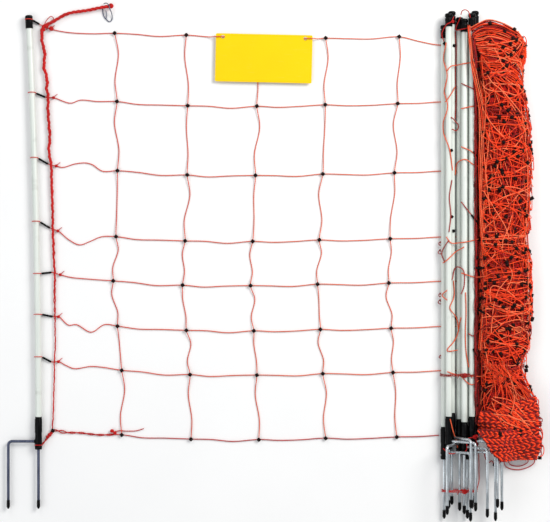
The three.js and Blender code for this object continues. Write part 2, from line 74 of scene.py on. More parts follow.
# %% Datum
POST_Z = 0.0092  # the axis of a post that lies on cords
foot_low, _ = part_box("end_post_foot")
tip_low, tip_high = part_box("end_post_prong_tip")
DATUM = np.array([
    (tip_low[0] + tip_high[0]) / 2,
    foot_low[1],
    (tip_low[2] + tip_high[2]) / 2 - POST_Z,
])


def place(points):
    return np.asarray(points, float).reshape(-1, 3) + DATUM


print("datum", np.round(DATUM, 4).tolist())

# %% [markdown]
# The camera looks straight down on the fence, as the photograph was taken. It stands
# far off with a long lens, so that the posts stay parallel.

# %% Camera
PHOTO = (550, 522)
METRES_A_PIXEL = 0.00212
FOOT_PIXEL = (38.5, 449.3)
EYE_HEIGHT = 3.6
SENSOR = 36.0

view_middle = place([[
    (PHOTO[0] / 2 - FOOT_PIXEL[0]) * METRES_A_PIXEL,
    (FOOT_PIXEL[1] - PHOTO[1] / 2) * METRES_A_PIXEL,
    0.0,
]])[0]
camera = bpy.data.objects.new("camera", bpy.data.cameras.new("camera"))
camera.data.sensor_width = SENSOR
camera.data.lens = SENSOR * (EYE_HEIGHT - POST_Z) / (PHOTO[0] * METRES_A_PIXEL)
camera.location = (view_middle[0], view_middle[1], EYE_HEIGHT)
bpy.context.collection.objects.link(camera)
bpy.context.scene.camera = camera
print("lens", round(camera.data.lens, 1), "mm")

# %% [markdown]
# A cord follows a smooth line through a few chosen points. Blender's curves could give
# such a line, but a spline in numpy can also be measured, lifted and laid over other
# pieces before anything is made. A centripetal spline is used, because it doesn't
# overshoot where the chosen points lie unevenly.

# %% Lines


def circle(count):
    """Angles evenly round a circle, without the last one that would repeat the first."""
    return np.linspace(0, 2 * math.pi, count, endpoint=False)


def run_along(line):
    """How far each point of a line lies from its start, along the line."""
    return np.concatenate([[0], np.cumsum(np.linalg.norm(np.diff(line, axis=0), axis=1))])


def smooth(points, step):
    """Points about step apart on a centripetal spline through the given ones."""
    p = np.asarray(points, float)
    if len(p) == 2:
        count = max(2, int(np.linalg.norm(p[1] - p[0]) / step) + 1)
        return p[0] + np.linspace(0, 1, count)[:, None] * (p[1] - p[0])
    p = np.vstack([2 * p[0] - p[1], p, 2 * p[-1] - p[-2]])
    out = []
    for a, b, c, d in zip(p[:-3], p[1:-2], p[2:-1], p[3:]):
        knots = [0.0]
        for u, v in ((a, b), (b, c), (c, d)):
            knots.append(knots[-1] + max(np.linalg.norm(v - u), 1e-9) ** 0.5)
        t0, t1, t2, t3 = knots
        count = max(1, int(round(np.linalg.norm(c - b) / step)))
        t = np.linspace(t1, t2, count, endpoint=False)[:, None]
        a1 = (t1 - t) / (t1 - t0) * a + (t - t0) / (t1 - t0) * b
        a2 = (t2 - t) / (t2 - t1) * b + (t - t1) / (t2 - t1) * c
        a3 = (t3 - t) / (t3 - t2) * c + (t - t2) / (t3 - t2) * d
        b1 = (t2 - t) / (t2 - t0) * a1 + (t - t0) / (t2 - t0) * a2
        b2 = (t3 - t) / (t3 - t1) * a2 + (t - t1) / (t3 - t1) * a3
        out.append((t2 - t) / (t2 - t1) * b1 + (t - t1) / (t2 - t1) * b2)
    return np.vstack(out + [p[-2:-1]])


def frames(line):
    """A pair of side directions for each point, carried along without twist."""
    along = np.gradient(line, axis=0)
    along /= np.maximum(np.linalg.norm(along, axis=1), 1e-12)[:, None]
    side = np.cross(along[0], [0.0, 0.0, 1.0])
    if np.linalg.norm(side) < 1e-3:
        side = np.array([1.0, 0.0, 0.0])
    sides = []
    for direction in along:
        side = side - direction * side.dot(direction)
        side /= max(np.linalg.norm(side), 1e-12)
        sides.append(side)
    sides = np.array(sides)
    return sides, np.cross(along, sides)


test_line = smooth([(0, 0, 0), (1, 1, 0), (2, 0, 0)], 0.1)
print("a test line of", len(test_line), "points is", round(float(run_along(test_line)[-1]), 3), "long")

# %% [markdown]
# A section is swept along the line. It can be round, or lobed and turned as it goes,
# which is what two or three plies twisted together look like. Modifiers could do this
# on a curve, but sweeping by hand gives clean quads, tapers freely, and lets hundreds
# of cords share one mesh.

# %% Swept and rounded shapes
STRAND_TWIST = {"sides": 8, "plies": 2, "groove": 0.34, "pitch": 0.0085}
CORD_TWIST = {"sides": 8, "plies": 2, "groove": 0.3, "pitch": 0.0085}
FOLD_TWIST = {"sides": 6, "plies": 2, "groove": 0.3, "pitch": 0.0085}


class Mesh:
    """Collects swept and turned shapes for one object."""

    def __init__(self):
        self.points, self.faces, self.count = [], [], 0

    def add(self, points, faces):
        self.points.append(np.asarray(points, float))
        self.faces += [tuple(i + self.count for i in face) for face in faces]
        self.count += len(points)

    def sweep(self, line, radius, sides=6, plies=1, groove=0.3, pitch=0.01, phase=0.0, close=False):
        line = np.asarray(line, float)
        n = len(line)
        across, up = frames(line)
        around = circle(sides)
        lobes = np.ones(sides)
        run = np.zeros(n)
        if plies > 1:
            lobes = 1 - groove * (1 - np.abs(np.cos(plies * around / 2)))
            run = run_along(line) * 2 * math.pi / pitch
        turn = around[None, :] + run[:, None] + phase
        reach = np.broadcast_to(np.asarray(radius, float).reshape(-1, 1), (n, 1)) * lobes[None, :]
        rings = (
            line[:, None, :]
            + across[:, None, :] * (np.cos(turn) * reach)[..., None]
            + up[:, None, :] * (np.sin(turn) * reach)[..., None]
        )
        index = np.arange(n * sides).reshape(n, sides)
        if close:
            index = np.vstack([index, index[:1]])
        lower, upper = index[:-1], index[1:]
        quads = np.stack(
            [lower, np.roll(lower, -1, 1), np.roll(upper, -1, 1), upper], axis=-1
        ).reshape(-1, 4)
        faces = [tuple(q) for q in quads.tolist()]
        if not close:
            faces += [tuple(index[0][::-1].tolist()), tuple(index[-1].tolist())]
        self.add(rings.reshape(-1, 3), faces)

    def lump(self, centre, size, turn=0.0, rings=4, sides=8, power=1.0):
        """A rounded lump: an ellipsoid, or a fuller or sharper one by its power."""
        points, faces = [(0, 0, size[2])], []
        for i in range(1, rings):
            polar = math.pi * i / rings
            for j in range(sides):
                angle = 2 * math.pi * j / sides
                c, s = math.cos(angle), math.sin(angle)
                x = math.copysign(abs(c) ** power, c) * size[0] * math.sin(polar)
                y = math.copysign(abs(s) ** power, s) * size[1] * math.sin(polar)
                points.append((x, y, size[2] * math.cos(polar)))
        points.append((0, 0, -size[2]))
        last = len(points) - 1
        for j in range(sides):
            k = (j + 1) % sides
            faces.append((0, 1 + j, 1 + k))
            for i in range(rings - 2):
                a = 1 + i * sides
                faces.append((a + j, a + sides + j, a + sides + k, a + k))
            a = 1 + (rings - 2) * sides
            faces.append((last, a + k, a + j))
        c, s = math.cos(turn), math.sin(turn)
        points = np.array(points) @ np.array([[c, s, 0], [-s, c, 0], [0, 0, 1]])
        self.add(points + centre, faces)

    def object(self, name, material, slot, shade=True):
        data = bpy.data.meshes.new(name)
        data.from_pydata(np.vstack(self.points).tolist(), [], self.faces)
        data.update()
        data.materials.append(material)
        if shade:
            data.polygons.foreach_set("use_smooth", [True] * len(data.polygons))
        item = bpy.data.objects.new(name, data)
        bpy.context.collection.objects.link(item)
        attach(item, "root")
        return item


print("two plies turn once every", STRAND_TWIST["pitch"], "m")

# %% [markdown]
# Materials are written as sums: a small wrapper round a node's output lets a mask or a
# stripe be worked out with plain operators, each of which adds its Math node. Wiring
# nodes by hand would say the same in four times the lines. Colours are blended by Mix
# nodes, because a Math node turns a colour grey.

# %% Shader sums


class Out:
    """One output of a node, with the arithmetic that shader sums use."""

    def __init__(self, paint, socket):
        self.paint, self.socket = paint, socket

    def maths(self, operation, *others):
        return self.paint.node("ShaderNodeMath", {"operation": operation}, self, *others)

    def __add__(self, other):
        return self.maths("ADD", other)

    def __mul__(self, other):
        return self.maths("MULTIPLY", other)

    def __sub__(self, other):
        return self.maths("SUBTRACT", other)

    def __rsub__(self, other):
        return self.paint.node("ShaderNodeMath", {"operation": "SUBTRACT"}, other, self)

    __radd__, __rmul__ = __add__, __mul__


print("sums may use", [name.strip("_") for name in vars(Out) if name in ("__add__", "__sub__", "__mul__")])

# %% [markdown]
# A paint starts from the Principled shader and is put together node by node. One method
# makes any node: its settings first, then the values or links of its sockets. The rest
# are the few patterns that cords, plastic and steel share. Only colour, roughness and
# a bump change over a surface, so that everything can be baked later.

# %% Paints


class Paint:
    """A material being put together."""

    def __init__(self, name, **constants):
        self.material = bpy.data.materials.new(name)
        self.material.use_nodes = True
        self.tree = self.material.node_tree
        self.shader = self.tree.nodes["Principled BSDF"]
        for key, value in constants.items():
            self.shader.inputs[key.replace("_", " ")].default_value = value
        self.here = self.node("ShaderNodeTexCoord", {}, output="Object")

    def node(self, kind, settings, *values, output=0, **named):
        made = self.tree.nodes.new(kind)
        for key, value in settings.items():
            setattr(made, key, value)
        for key, value in [*enumerate(values), *named.items()]:
            key = key.replace("_", " ") if isinstance(key, str) else key
            self.feed(made.inputs[key], value)
        return Out(self, made.outputs[output])

    def feed(self, socket, value):
        if isinstance(value, Out):
            self.tree.links.new(value.socket, socket)
        else:
            socket.default_value = value

    def noise(self, scale, detail=2.0, where=None):
        return self.node("ShaderNodeTexNoise", {}, Vector=where or self.here, Scale=scale, Detail=detail)

    def step(self, value, low, high):
        """0 below low, 1 above high."""
        return self.node("ShaderNodeMapRange", {}, value, low, high, 0.0, 1.0)

    def blend(self, share, first, second):
        made = self.tree.nodes.new("ShaderNodeMix")
        made.data_type = "RGBA"
        self.feed(made.inputs[0], share)
        self.feed(made.inputs[6], first)
        self.feed(made.inputs[7], second)
        return Out(self, made.outputs[2])

    def stretched(self, x, y, z):
        return self.node(
            "ShaderNodeVectorMath", {"operation": "MULTIPLY"}, self.here, (x, y, z)
        )

    def finish(self, colour=None, roughness=None, height=None, strength=0.3, distance=0.0004):
        if colour is not None:
            self.feed(self.shader.inputs["Base Color"], colour)
        if roughness is not None:
            self.feed(self.shader.inputs["Roughness"], roughness)
        if height is not None:
            bump = self.node("ShaderNodeBump", {}, Strength=strength, Distance=distance, Height=height)
            self.feed(self.shader.inputs["Normal"], bump)
        return self.material


trial = Paint("trial")
mask = 1 - trial.noise(5.0) * 0.5
print("a trial sum took", len(trial.tree.nodes), "nodes and ends in", mask.socket.node.name)
bpy.data.materials.remove(trial.material)

# %% [markdown]
# Polywire is plastic yarn twisted with hair-thin metal strands. Its colour comes from
# dyed yarn, so it is never one even orange: two tones of noise mix along each cord, and
# sparse bright specks stand for the metal. The same orange paint also comes in lit and
# shaded copies. The pale copy is a painted highlight for cords on top of the fold. The
# dark copy and the one in shade are painted shade for cords deep in the fold, which get
# so little light. The shade that crossing cords would cast on each other is too fine to
# be left to the lamps.

# %% Cord paints
METAL_SPECK = (0.75, 0.68, 0.62, 1)
FADED_CRIMSON = (0.62, 0.02, 0.022, 1)


def cord_paint(name, bright, deep, wire=0.12, crimson=0.0):
    """Twisted polywire: two tones of yarn, and a fine metal strand that glints here and there."""
    p = Paint(name, Sheen_Weight=0.06, Sheen_Roughness=0.5, Specular_IOR_Level=0.25)
    yarn = p.step(p.noise(420.0), 0.35, 0.65)
    patches = p.step(p.noise(14.0), 0.4, 0.65)
    colour = p.blend(yarn * 0.45 + patches * 0.25, bright, deep)
    if crimson:
        # the sun has left the cords nearest the end post a colder red
        along = p.node("ShaderNodeSeparateXYZ", {}, p.here)
        colour = p.blend(p.step(along, 0.05, -0.45) * crimson, colour, FADED_CRIMSON)
    glint = p.step(p.noise(900.0, 0.0), 0.72, 0.78) * wire
    colour = p.blend(glint, colour, METAL_SPECK)
    return p.finish(colour, 0.62 - glint * 1.5, p.noise(700.0), 0.5, 0.0003)


ORANGE = (1.0, 0.07, 0.005, 1)
DEEP_ORANGE = (0.8, 0.02, 0.002, 1)
HIGHLIGHT_ORANGE = (1.0, 0.24, 0.1, 1)
WORN_ORANGE = (0.85, 0.13, 0.04, 1)
BRICK = (0.5, 0.05, 0.015, 1)
SHADED_ORANGE = (0.42, 0.008, 0.003, 1)
DEEP_SHADED_ORANGE = (0.12, 0.002, 0.002, 1)
GARNET = (0.2, 0.003, 0.002, 1)
DARK_GARNET = (0.05, 0.001, 0.001, 1)
RED = (0.62, 0.006, 0.004, 1)
DARK_RED = (0.22, 0.001, 0.001, 1)
orange_cord = cord_paint("orange_polywire", ORANGE, DEEP_ORANGE)
net_cord = cord_paint("orange_polywire_of_open_net", WORN_ORANGE, BRICK, wire=0.2, crimson=0.75)
# the pale copy: a painted highlight for cords on top
painted_highlight_cord = cord_paint("orange_polywire_painted_highlight", HIGHLIGHT_ORANGE, ORANGE)
# the dark copy: painted shade; the tie round the bundle and the wire curls use it too
dark_cord = cord_paint("orange_polywire_dark", SHADED_ORANGE, DEEP_SHADED_ORANGE)
# the copy in shade: the darkest painted shade, for cords deep in the heap
shaded_cord = cord_paint("polywire_in_shade", GARNET, DARK_GARNET, wire=0.04)
red_cord = cord_paint("red_twisted_cord", RED, DARK_RED, wire=0.05)
print("cord paints", [m.name for m in (orange_cord, net_cord, painted_highlight_cord, dark_cord, shaded_cord, red_cord)])

# %% [markdown]
# Caps, feet, sleeves and knots are moulded in black plastic. Clean black plastic looks
# like a hole in the picture, so scuffs lift it here and there to a dull grey, and the
# knots carry a breath of orange rubbed off the cords.

# %% Plastic paints


def black_plastic_paint():
    p = Paint("black_moulded_plastic", Specular_IOR_Level=0.1)
    scuffs = p.step(p.noise(160.0, 6.0), 0.55, 0.75)
    colour = p.blend(scuffs, (0.0008, 0.0008, 0.0012, 1), (0.007, 0.007, 0.009, 1))
    return p.finish(colour, 0.34 + scuffs * 0.25, p.noise(900.0), 0.15, 0.0002)


def knot_paint():
    """The black of the knots, rubbed by the cords."""
    p = Paint("black_knot_plastic", Specular_IOR_Level=0.08)
    rubbed = p.step(p.noise(260.0, 4.0), 0.5, 0.75)
    colour = p.blend(rubbed * 0.6, (0.006, 0.0025, 0.0025, 1), (0.05, 0.008, 0.004, 1))
    return p.finish(colour, 0.45 + rubbed * 0.2, p.noise(900.0), 0.15, 0.0002)


black_plastic = black_plastic_paint()
knot_plastic = knot_paint()
print("paints", black_plastic.name, knot_plastic.name)

# %% [markdown]
# The tubes are pulled through a die, so their faint grey streaks run lengthways: the
# noise is squeezed across the tube and stretched along it. The rods are drawn too, and
# then zinc-plated, which leaves dull and bright spots on the metal.

# %% Tube and rod paints


def tube_paint():
    """White post tube, with streaks and dirt."""
    p = Paint("white_post_tube", Coat_Weight=0.25, Coat_Roughness=0.25)
    streaks = p.step(p.noise(1.0, 4.0, p.stretched(380.0, 3.0, 380.0)), 0.45, 0.75)
    dirt = p.step(p.noise(30.0, 6.0), 0.58, 0.8)
    colour = p.blend(streaks * 0.5, (0.70, 0.74, 0.69, 1), (0.46, 0.52, 0.48, 1))
    colour = p.blend(dirt * 0.45, colour, (0.27, 0.275, 0.24, 1))
    return p.finish(colour, 0.34 + dirt * 0.3, streaks, 0.12, 0.0003)


def steel_paint(name, bright, dull, rough):
    p = Paint(name, Metallic=0.85)
    spots = p.step(p.noise(1.0, 3.0, p.stretched(420.0, 26.0, 420.0)), 0.42, 0.68)
    colour = p.blend(spots, bright, dull)
    return p.finish(colour, rough + spots * 0.2, p.noise(500.0), 0.15, 0.0002)


white_tube = tube_paint()
ZINC, DULL_ZINC = (0.11, 0.125, 0.19, 1), (0.04, 0.047, 0.08, 1)
STEEL, DULL_STEEL = (0.66, 0.7, 0.72, 1), (0.28, 0.32, 0.35, 1)
rod_steel = steel_paint("zinc_plated_rod", ZINC, DULL_ZINC, 0.36)
bright_steel = steel_paint("bright_prong_steel", STEEL, DULL_STEEL, 0.2)
print("paints", white_tube.name, rod_steel.name, bright_steel.name)

# %% [markdown]
# The plate is cut from extruded sheet. Its yellow is almost even, so only a slow cloud
# and a few fine scratches keep it from looking like a flat patch of colour.

# %% Plate paint


def plate_paint():
    p = Paint("bare_yellow_plate", Specular_IOR_Level=0.2)
    cloud = p.step(p.noise(9.0, 3.0), 0.35, 0.7)
    scratches = p.step(p.noise(1.0, 3.0, p.stretched(30.0, 900.0, 30.0)), 0.66, 0.74)
    colour = p.blend(cloud * 0.35, (0.88, 0.585, 0.0, 1), (0.80, 0.50, 0.0, 1))
    colour = p.blend(scratches * 0.2, colour, (0.95, 0.74, 0.2, 1))
    return p.finish(colour, 0.36 + scratches * 0.2, p.noise(260.0, 3.0), 0.08, 0.0003)


yellow_plate = plate_paint()
print("paint", yellow_plate.name)

# %% [markdown]
# The lead is the one free cord: the tail of the edge cord, three plies twisted, that
# clips to the power supply. A plain tube would look like hose, so its section has a deep
# lobe for each ply and turns as it goes, a little unevenly, as hand-twisted cord does.
# It keeps the route of its solid, in metres.

# %% Lead cord
STRAND = 0.0024
GAP = 0.0003
LEAD = 0.0066
LEAD_Z = STRAND + GAP + LEAD / 2
LEAD_ROUTE = [
    (0.0066, 0.882, 0), (0.0075, 0.891, 0), (0.013, 0.899, 0), (0.022, 0.903, 0),
    (0.032, 0.908, 0), (0.042, 0.914, 0), (0.054, 0.921, 0), (0.069, 0.926, 0),
    (0.089, 0.929, 0), (0.109, 0.932, 0), (0.125, 0.9355, 0.0004), (0.141, 0.938, 0.0022),
    (0.152, 0.939, 0.0024),
]
CLIP_ROUTE = [
    (0.134, 0.938, 0.001), (0.1355, 0.929, 0.001), (0.138, 0.919, 0.001),
    (0.144, 0.9115, 0.001), (0.150, 0.9075, 0.001), (0.1545, 0.911, 0.0012),
    (0.1555, 0.918, 0.0024), (0.1545, 0.926, 0.008), (0.152, 0.932, 0.0134),
    (0.1495, 0.9405, 0.0134), (0.144, 0.946, 0.008), (0.138, 0.946, 0.003),
]
CLIP_WIRE = 0.002


def rope(mesh, line, diameter, pitch=None):
    """A cord of three plies with deep lobes, laid a little unevenly."""
    count = np.arange(len(line))
    uneven = 1 + 0.05 * np.sin(count * 0.21) + 0.03 * np.sin(count * 0.53)
    mesh.sweep(line, diameter * 0.56 * uneven, 18, plies=3, groove=0.45, pitch=pitch or 4.6 * diameter)


lead_line = smooth(place([(x, y, z + LEAD_Z) for x, y, z in LEAD_ROUTE]), 0.001)
lead_mesh = Mesh()
rope(lead_mesh, lead_line, LEAD)
lead = lead_mesh.object("lead", red_cord, "red_cord")
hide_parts("lead_cord")

# %% [markdown]
# The lead ends in a knot that stops the clip from sliding off. A real knot's windings
# can't be told apart at this size, so a knot is a lump with three loops of cord wound
# over it at different tilts, which catches the light like one. The clip is a bent wire
# with a springy tongue inside its bow.

# %% End knot and clip


def knot(mesh, centre, size, turns=3):
    """A cord knot: a lump with cords wound over it."""
    centre = np.asarray(centre, float)
    mesh.lump(centre, (size * 0.72, size * 0.72, size * 0.62), rings=6, sides=10)
    for k in range(turns):
        tilt = k * math.pi / turns + 0.4
        t = circle(20)
        ring = np.stack([np.cos(t), np.sin(t) * math.cos(tilt), np.sin(t) * math.sin(tilt) * 0.8], 1)
        mesh.sweep(centre + ring * size * 0.72, size * 0.3, 6, close=True)


end_knot_mesh = Mesh()
knot(end_knot_mesh, lead_line[-1] + (0.0015, 0.001, 0.0), 0.0056)
end_knot = end_knot_mesh.object("lead_end_knot", red_cord, "red_cord")

clip_mesh = Mesh()
clip_line = smooth(place(CLIP_ROUTE), 0.0012)
clip_mesh.sweep(clip_line, CLIP_WIRE / 2, 10)
tongue = place([(0.1425, 0.9125, 0.0025), (0.144, 0.922, 0.0026), (0.142, 0.931, 0.002)])
clip_mesh.sweep(smooth(tongue, 0.001), CLIP_WIRE * 0.42, 8)
clip = clip_mesh.object("clip", rod_steel, "spike_steel")
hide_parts("lead_clip")

print("clip wire", round(float(run_along(clip_line)[-1]), 3), "m")

# %% [markdown]
# A post is a drawn tube with a cap and a foot pushed on, and a U-shaped steel rod
# moulded into the foot. All its sizes are those of its solids, in metres. Post, cap and
# foot are round, so each is a profile turned about the post's axis. Corners of moulded
# plastic are never sharp, so every profile is softened before it is turned.

# %% Turned parts of a post
POST_HEIGHT = 0.920
TUBE = 0.013
CAP = 0.016
CAP_LENGTH = 0.028
CAP_PLUG = 0.014
FOOT = 0.0156
FOOT_LENGTH = 0.069
FOOT_PLUG = 0.030
GROOVE = 0.009
ROD = 0.006
PRONG = 0.126
SPUR = 0.064
STEP = 0.017
BEND = 0.008
TIP = 0.0072
TIP_LENGTH = 0.018
BOW = 0.020
TUBE_FROM = FOOT_PLUG + GAP
TUBE_TO = POST_HEIGHT - CAP_PLUG - GAP
TUBE_SEAT = TUBE / 2 + GAP
ROUND = 40
SOFT_EDGE = 0.0003


def turned(profile, sides=ROUND):
    """Points and faces of a profile of (radius, height) turned about Y, open at no end."""
    profile = np.array(profile)
    angle = circle(sides)
    points = np.stack([
        profile[:, :1] * np.sin(angle),
        np.broadcast_to(profile[:, 1:], (len(profile), sides)),
        profile[:, :1] * np.cos(angle),
    ], -1)
    index = np.arange(len(profile) * sides).reshape(len(profile), sides)
    faces = []
    for lower, upper in zip(index[:-1], index[1:]):
        faces += np.stack([lower, np.roll(lower, -1), np.roll(upper, -1), upper], -1).tolist()
    faces += [index[0][::-1].tolist(), index[-1].tolist()]
    return points.reshape(-1, 3), faces


def softened(profile, radius=SOFT_EDGE):
    """The profile with each corner cut back to two points, for a moulded edge."""
    out = [profile[0]]
    for before, here, after in zip(profile[:-2], profile[1:-1], profile[2:]):
        here = np.array(here)
        for other in (before, after):
            way = np.array(other) - here
            length = np.linalg.norm(way)
            out.append(tuple(here + way * min(radius / max(length, 1e-9), 0.45)))
    return out + [profile[-1]]


def grooved(radius, middle, seat=0.0065, half=0.0017):
    return [(radius, middle - half), (seat, middle - half), (seat, middle + half), (radius, middle + half)]


softened_square = softened([(1, 0), (1, 1), (0, 1)], 0.1)
print("softening turned 3 corners into", len(softened_square), "points")

# %% [markdown]
# Cap, foot and tip have the marks of moulded parts: grip ribs, a groove in which a loop
# of cord seats, a thin lip where the foot takes the tube. Each is a single profile, so
# these marks cost a few points and no boolean.

# %% Cap, foot and tip


def cap_shape():
    """The push-on cap: four grip ribs, a groove for the cord and a rounded crown."""
    r, ribs = CAP / 2, []
    for k in range(4):
        at = 0.003 + 0.0026 * k
        ribs += [(r, at), (r - 0.0005, at + 0.0005), (r - 0.0005, at + 0.0012), (r, at + 0.0017)]
    profile = [(TUBE_SEAT, 0.006), (TUBE_SEAT, 0), (r - 0.0004, 0), *ribs]
    profile += grooved(r, CAP_LENGTH - GROOVE)
    profile += [(r, CAP_LENGTH - 0.0022), (r - 0.0022, CAP_LENGTH), (0.0005, CAP_LENGTH)]
    return turned(softened(profile))


def foot_shape():
    """The foot: a socket for the rod, a groove for the cord, a waist and a thin lip."""
    r = FOOT / 2
    lip = r - 0.0008
    profile = [(0.0045, 0.006), (0.0045, 0), (r - 0.0004, 0)]
    profile += grooved(r, GROOVE)
    profile += [(r, 0.013), (r - 0.0004, 0.026), (r - 0.0007, 0.030), (r - 0.0007, 0.034), (r, 0.037)]
    profile += [(r, FOOT_LENGTH - 0.005), (lip, FOOT_LENGTH - 0.004), (lip, FOOT_LENGTH)]
    profile += [(TUBE_SEAT, FOOT_LENGTH), (TUBE_SEAT, FOOT_LENGTH - 0.006)]
    return turned(softened(profile))


def tip_shape():
    """The cover on a prong's end: blunt below, with one shallow ring near its top."""
    r = TIP / 2
    ring = r * 0.93
    return turned(softened([
        (0.0004, -TIP_LENGTH), (r * 0.4, -TIP_LENGTH), (r, 0.0045 - TIP_LENGTH),
        (r, -0.0035), (ring, -0.003), (ring, -0.0022), (r, -0.0018), (r, 0), (ROD / 2, 0),
    ]), 24)


for shape in (cap_shape, foot_shape, tip_shape):
    print(shape.__name__, len(shape()[0]), "points")

# %% [markdown]
# The spike is one steel rod, bent twice to a U: one prong carries the post on, and the
# other is a step for a boot. Its line is drawn once, in the post's own frame, with true
# arcs in its corners. The end post has been bent by use, so its tube leans more and more
# towards the top, as a parabola, and its cap sits on that lean.

# %% Bent rod and bent tube


def bow_at(height, bow):
    """How far the tube of a bent post stands aside at a height."""
    return -bow * (np.maximum(height - TUBE_FROM, 0) / (TUBE_TO - TUBE_FROM)) ** 2


def rod_line():
    end = -PRONG + 0.004
    corner = [
        (BEND * (1 - math.cos(a)), STEP - BEND * (1 - math.sin(a)), 0)
        for a in np.linspace(0, math.pi / 2, 9)
    ]
    first = [(0, end, 0), (0, end * 0.5, 0)] + corner
    second = [(SPUR - x, y, z) for x, y, z in reversed(first)]
    return np.array(first + second, float)


print("rod of", round(float(run_along(rod_line())[-1]), 3), "m, bent twice")

# %% [markdown]
# A post is then dressed from its parts: tube, cap, foot, rod and two tips. The same
# function makes all nine posts, and each part replaces the solid that it stands for.
# Instances would be lighter, but every post has its own solids to stand for.

# %% Posts


class Standing:
    """Where a post lies: its place, its shift along the bundle, its turn about its axis."""

    def __init__(self, x, shift, z, turn):
        self.origin = place([(x, shift, z)])[0]
        self.c, self.s = math.cos(turn), math.sin(turn)

    def put(self, points):
        p = np.asarray(points, float)
        x, y, z = p[:, 0], p[:, 1], p[:, 2]
        return np.stack([x * self.c - z * self.s, y, x * self.s + z * self.c], 1) + self.origin


def make_post(name, standing, prong_material, bow=0.0, tips=()):
    tube = Mesh()
    heights = np.linspace(TUBE_FROM, TUBE_TO, 60 if bow else 12)
    line = np.stack([bow_at(heights, bow), heights, 0 * heights], 1)
    tube.sweep(standing.put(line), TUBE / 2, ROUND)
    pieces = [(tube.object(name + "_white_tube", white_tube, "post_tube"), [name + "_tube"])]
    lean = math.atan(2 * bow / (TUBE_TO - TUBE_FROM))
    base = POST_HEIGHT - CAP_LENGTH
    cap, (points, faces) = Mesh(), cap_shape()
    c, s = math.cos(lean), math.sin(lean)
    points = points @ np.array([[c, s, 0], [-s, c, 0], [0, 0, 1]])
    points = points + (bow_at(TUBE_TO, bow) + (TUBE_TO - base) * s, base, 0)
    cap.add(standing.put(points), faces)
    pieces.append((cap.object(name + "_push_cap", black_plastic, "black_plastic"), [name + "_cap"]))
    foot, (points, faces) = Mesh(), foot_shape()
    foot.add(standing.put(points), faces)
    boss = np.array([(0.006, STEP, 0), (0.0080, STEP, 0), (0.0092, STEP, 0)], float)
    foot.sweep(standing.put(boss), [0.0044, 0.0042, 0.0038], 20)
    pieces.append((foot.object(name + "_moulded_foot", black_plastic, "black_plastic"), [name + "_foot"]))
    rod = Mesh()
    rod.sweep(standing.put(rod_line()), ROD / 2, 20)
    pieces.append((rod.object(name + "_bent_rod", prong_material, "spike_steel"), [name + "_spike"]))
    for suffix, x in (("_prong_tip", 0.0), ("_spur_tip", SPUR)):
        tip, (points, faces) = Mesh(), tip_shape()
        tip.add(standing.put(points + (x, -PRONG + TIP_LENGTH, 0)), faces)
        nodes = [name + suffix] if tips else [name + "_spike"]
        pieces.append((tip.object(name + suffix + "_cover", black_plastic, "black_plastic"), nodes))
    for piece, nodes in pieces:
        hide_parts(*nodes)


make_post("end_post", Standing(0, 0, POST_Z, math.pi), rod_steel, -BOW, tips=True)
print("end post leans", round(BOW * 1000), "mm aside at its top")

# %% [markdown]
# Eight spare posts lie in two layers, the upper ones in the hollows between the lower
# ones, so the rise of a layer follows from the width of a cap. Each post is given its
# own shift and turn, because a bundle gathered by hand is never even, and because the
# spurs have to clear each other.

# %% Spare posts
BUNDLE_X = 0.860
PITCH = CAP + GAP + 0.0001
LAYER_RISE = math.sqrt((CAP + GAP) ** 2 - (PITCH / 2) ** 2)
SPARE_POSTS = [
    (0, 0, -0.021, 36.5), (0, 1, 0.0085, 58), (0, 2, -0.0045, 120), (0, 3, -0.021, 30),
    (0, 4, 0.009, 50), (1, 0, 0.002, 35), (1, 2, -0.0095, 48), (1, 3, 0.002, 20),
]
spare_centres = []
for number, (layer, spot, shift, turn) in enumerate(SPARE_POSTS, 1):
    x = BUNDLE_X + (spot + layer / 2) * PITCH
    z = POST_Z + layer * LAYER_RISE
    spare_centres.append((x, z))
    make_post(f"bundle_post_{number}", Standing(x, shift, z, math.radians(turn)), bright_steel)
print(len(spare_centres), "spare posts, layers", round(LAYER_RISE * 1000, 1), "mm apart")

# %% [markdown]
# The open net is eight rows of polywire and five upright cords, tied by moulded knots
# where they cross. An array of even squares would look like a drawing of a net: on a
# floor, each column leans and sags its own way. So the gaps between rows, the places of
# the columns and their lean are listed, and every knot is worked out from them.

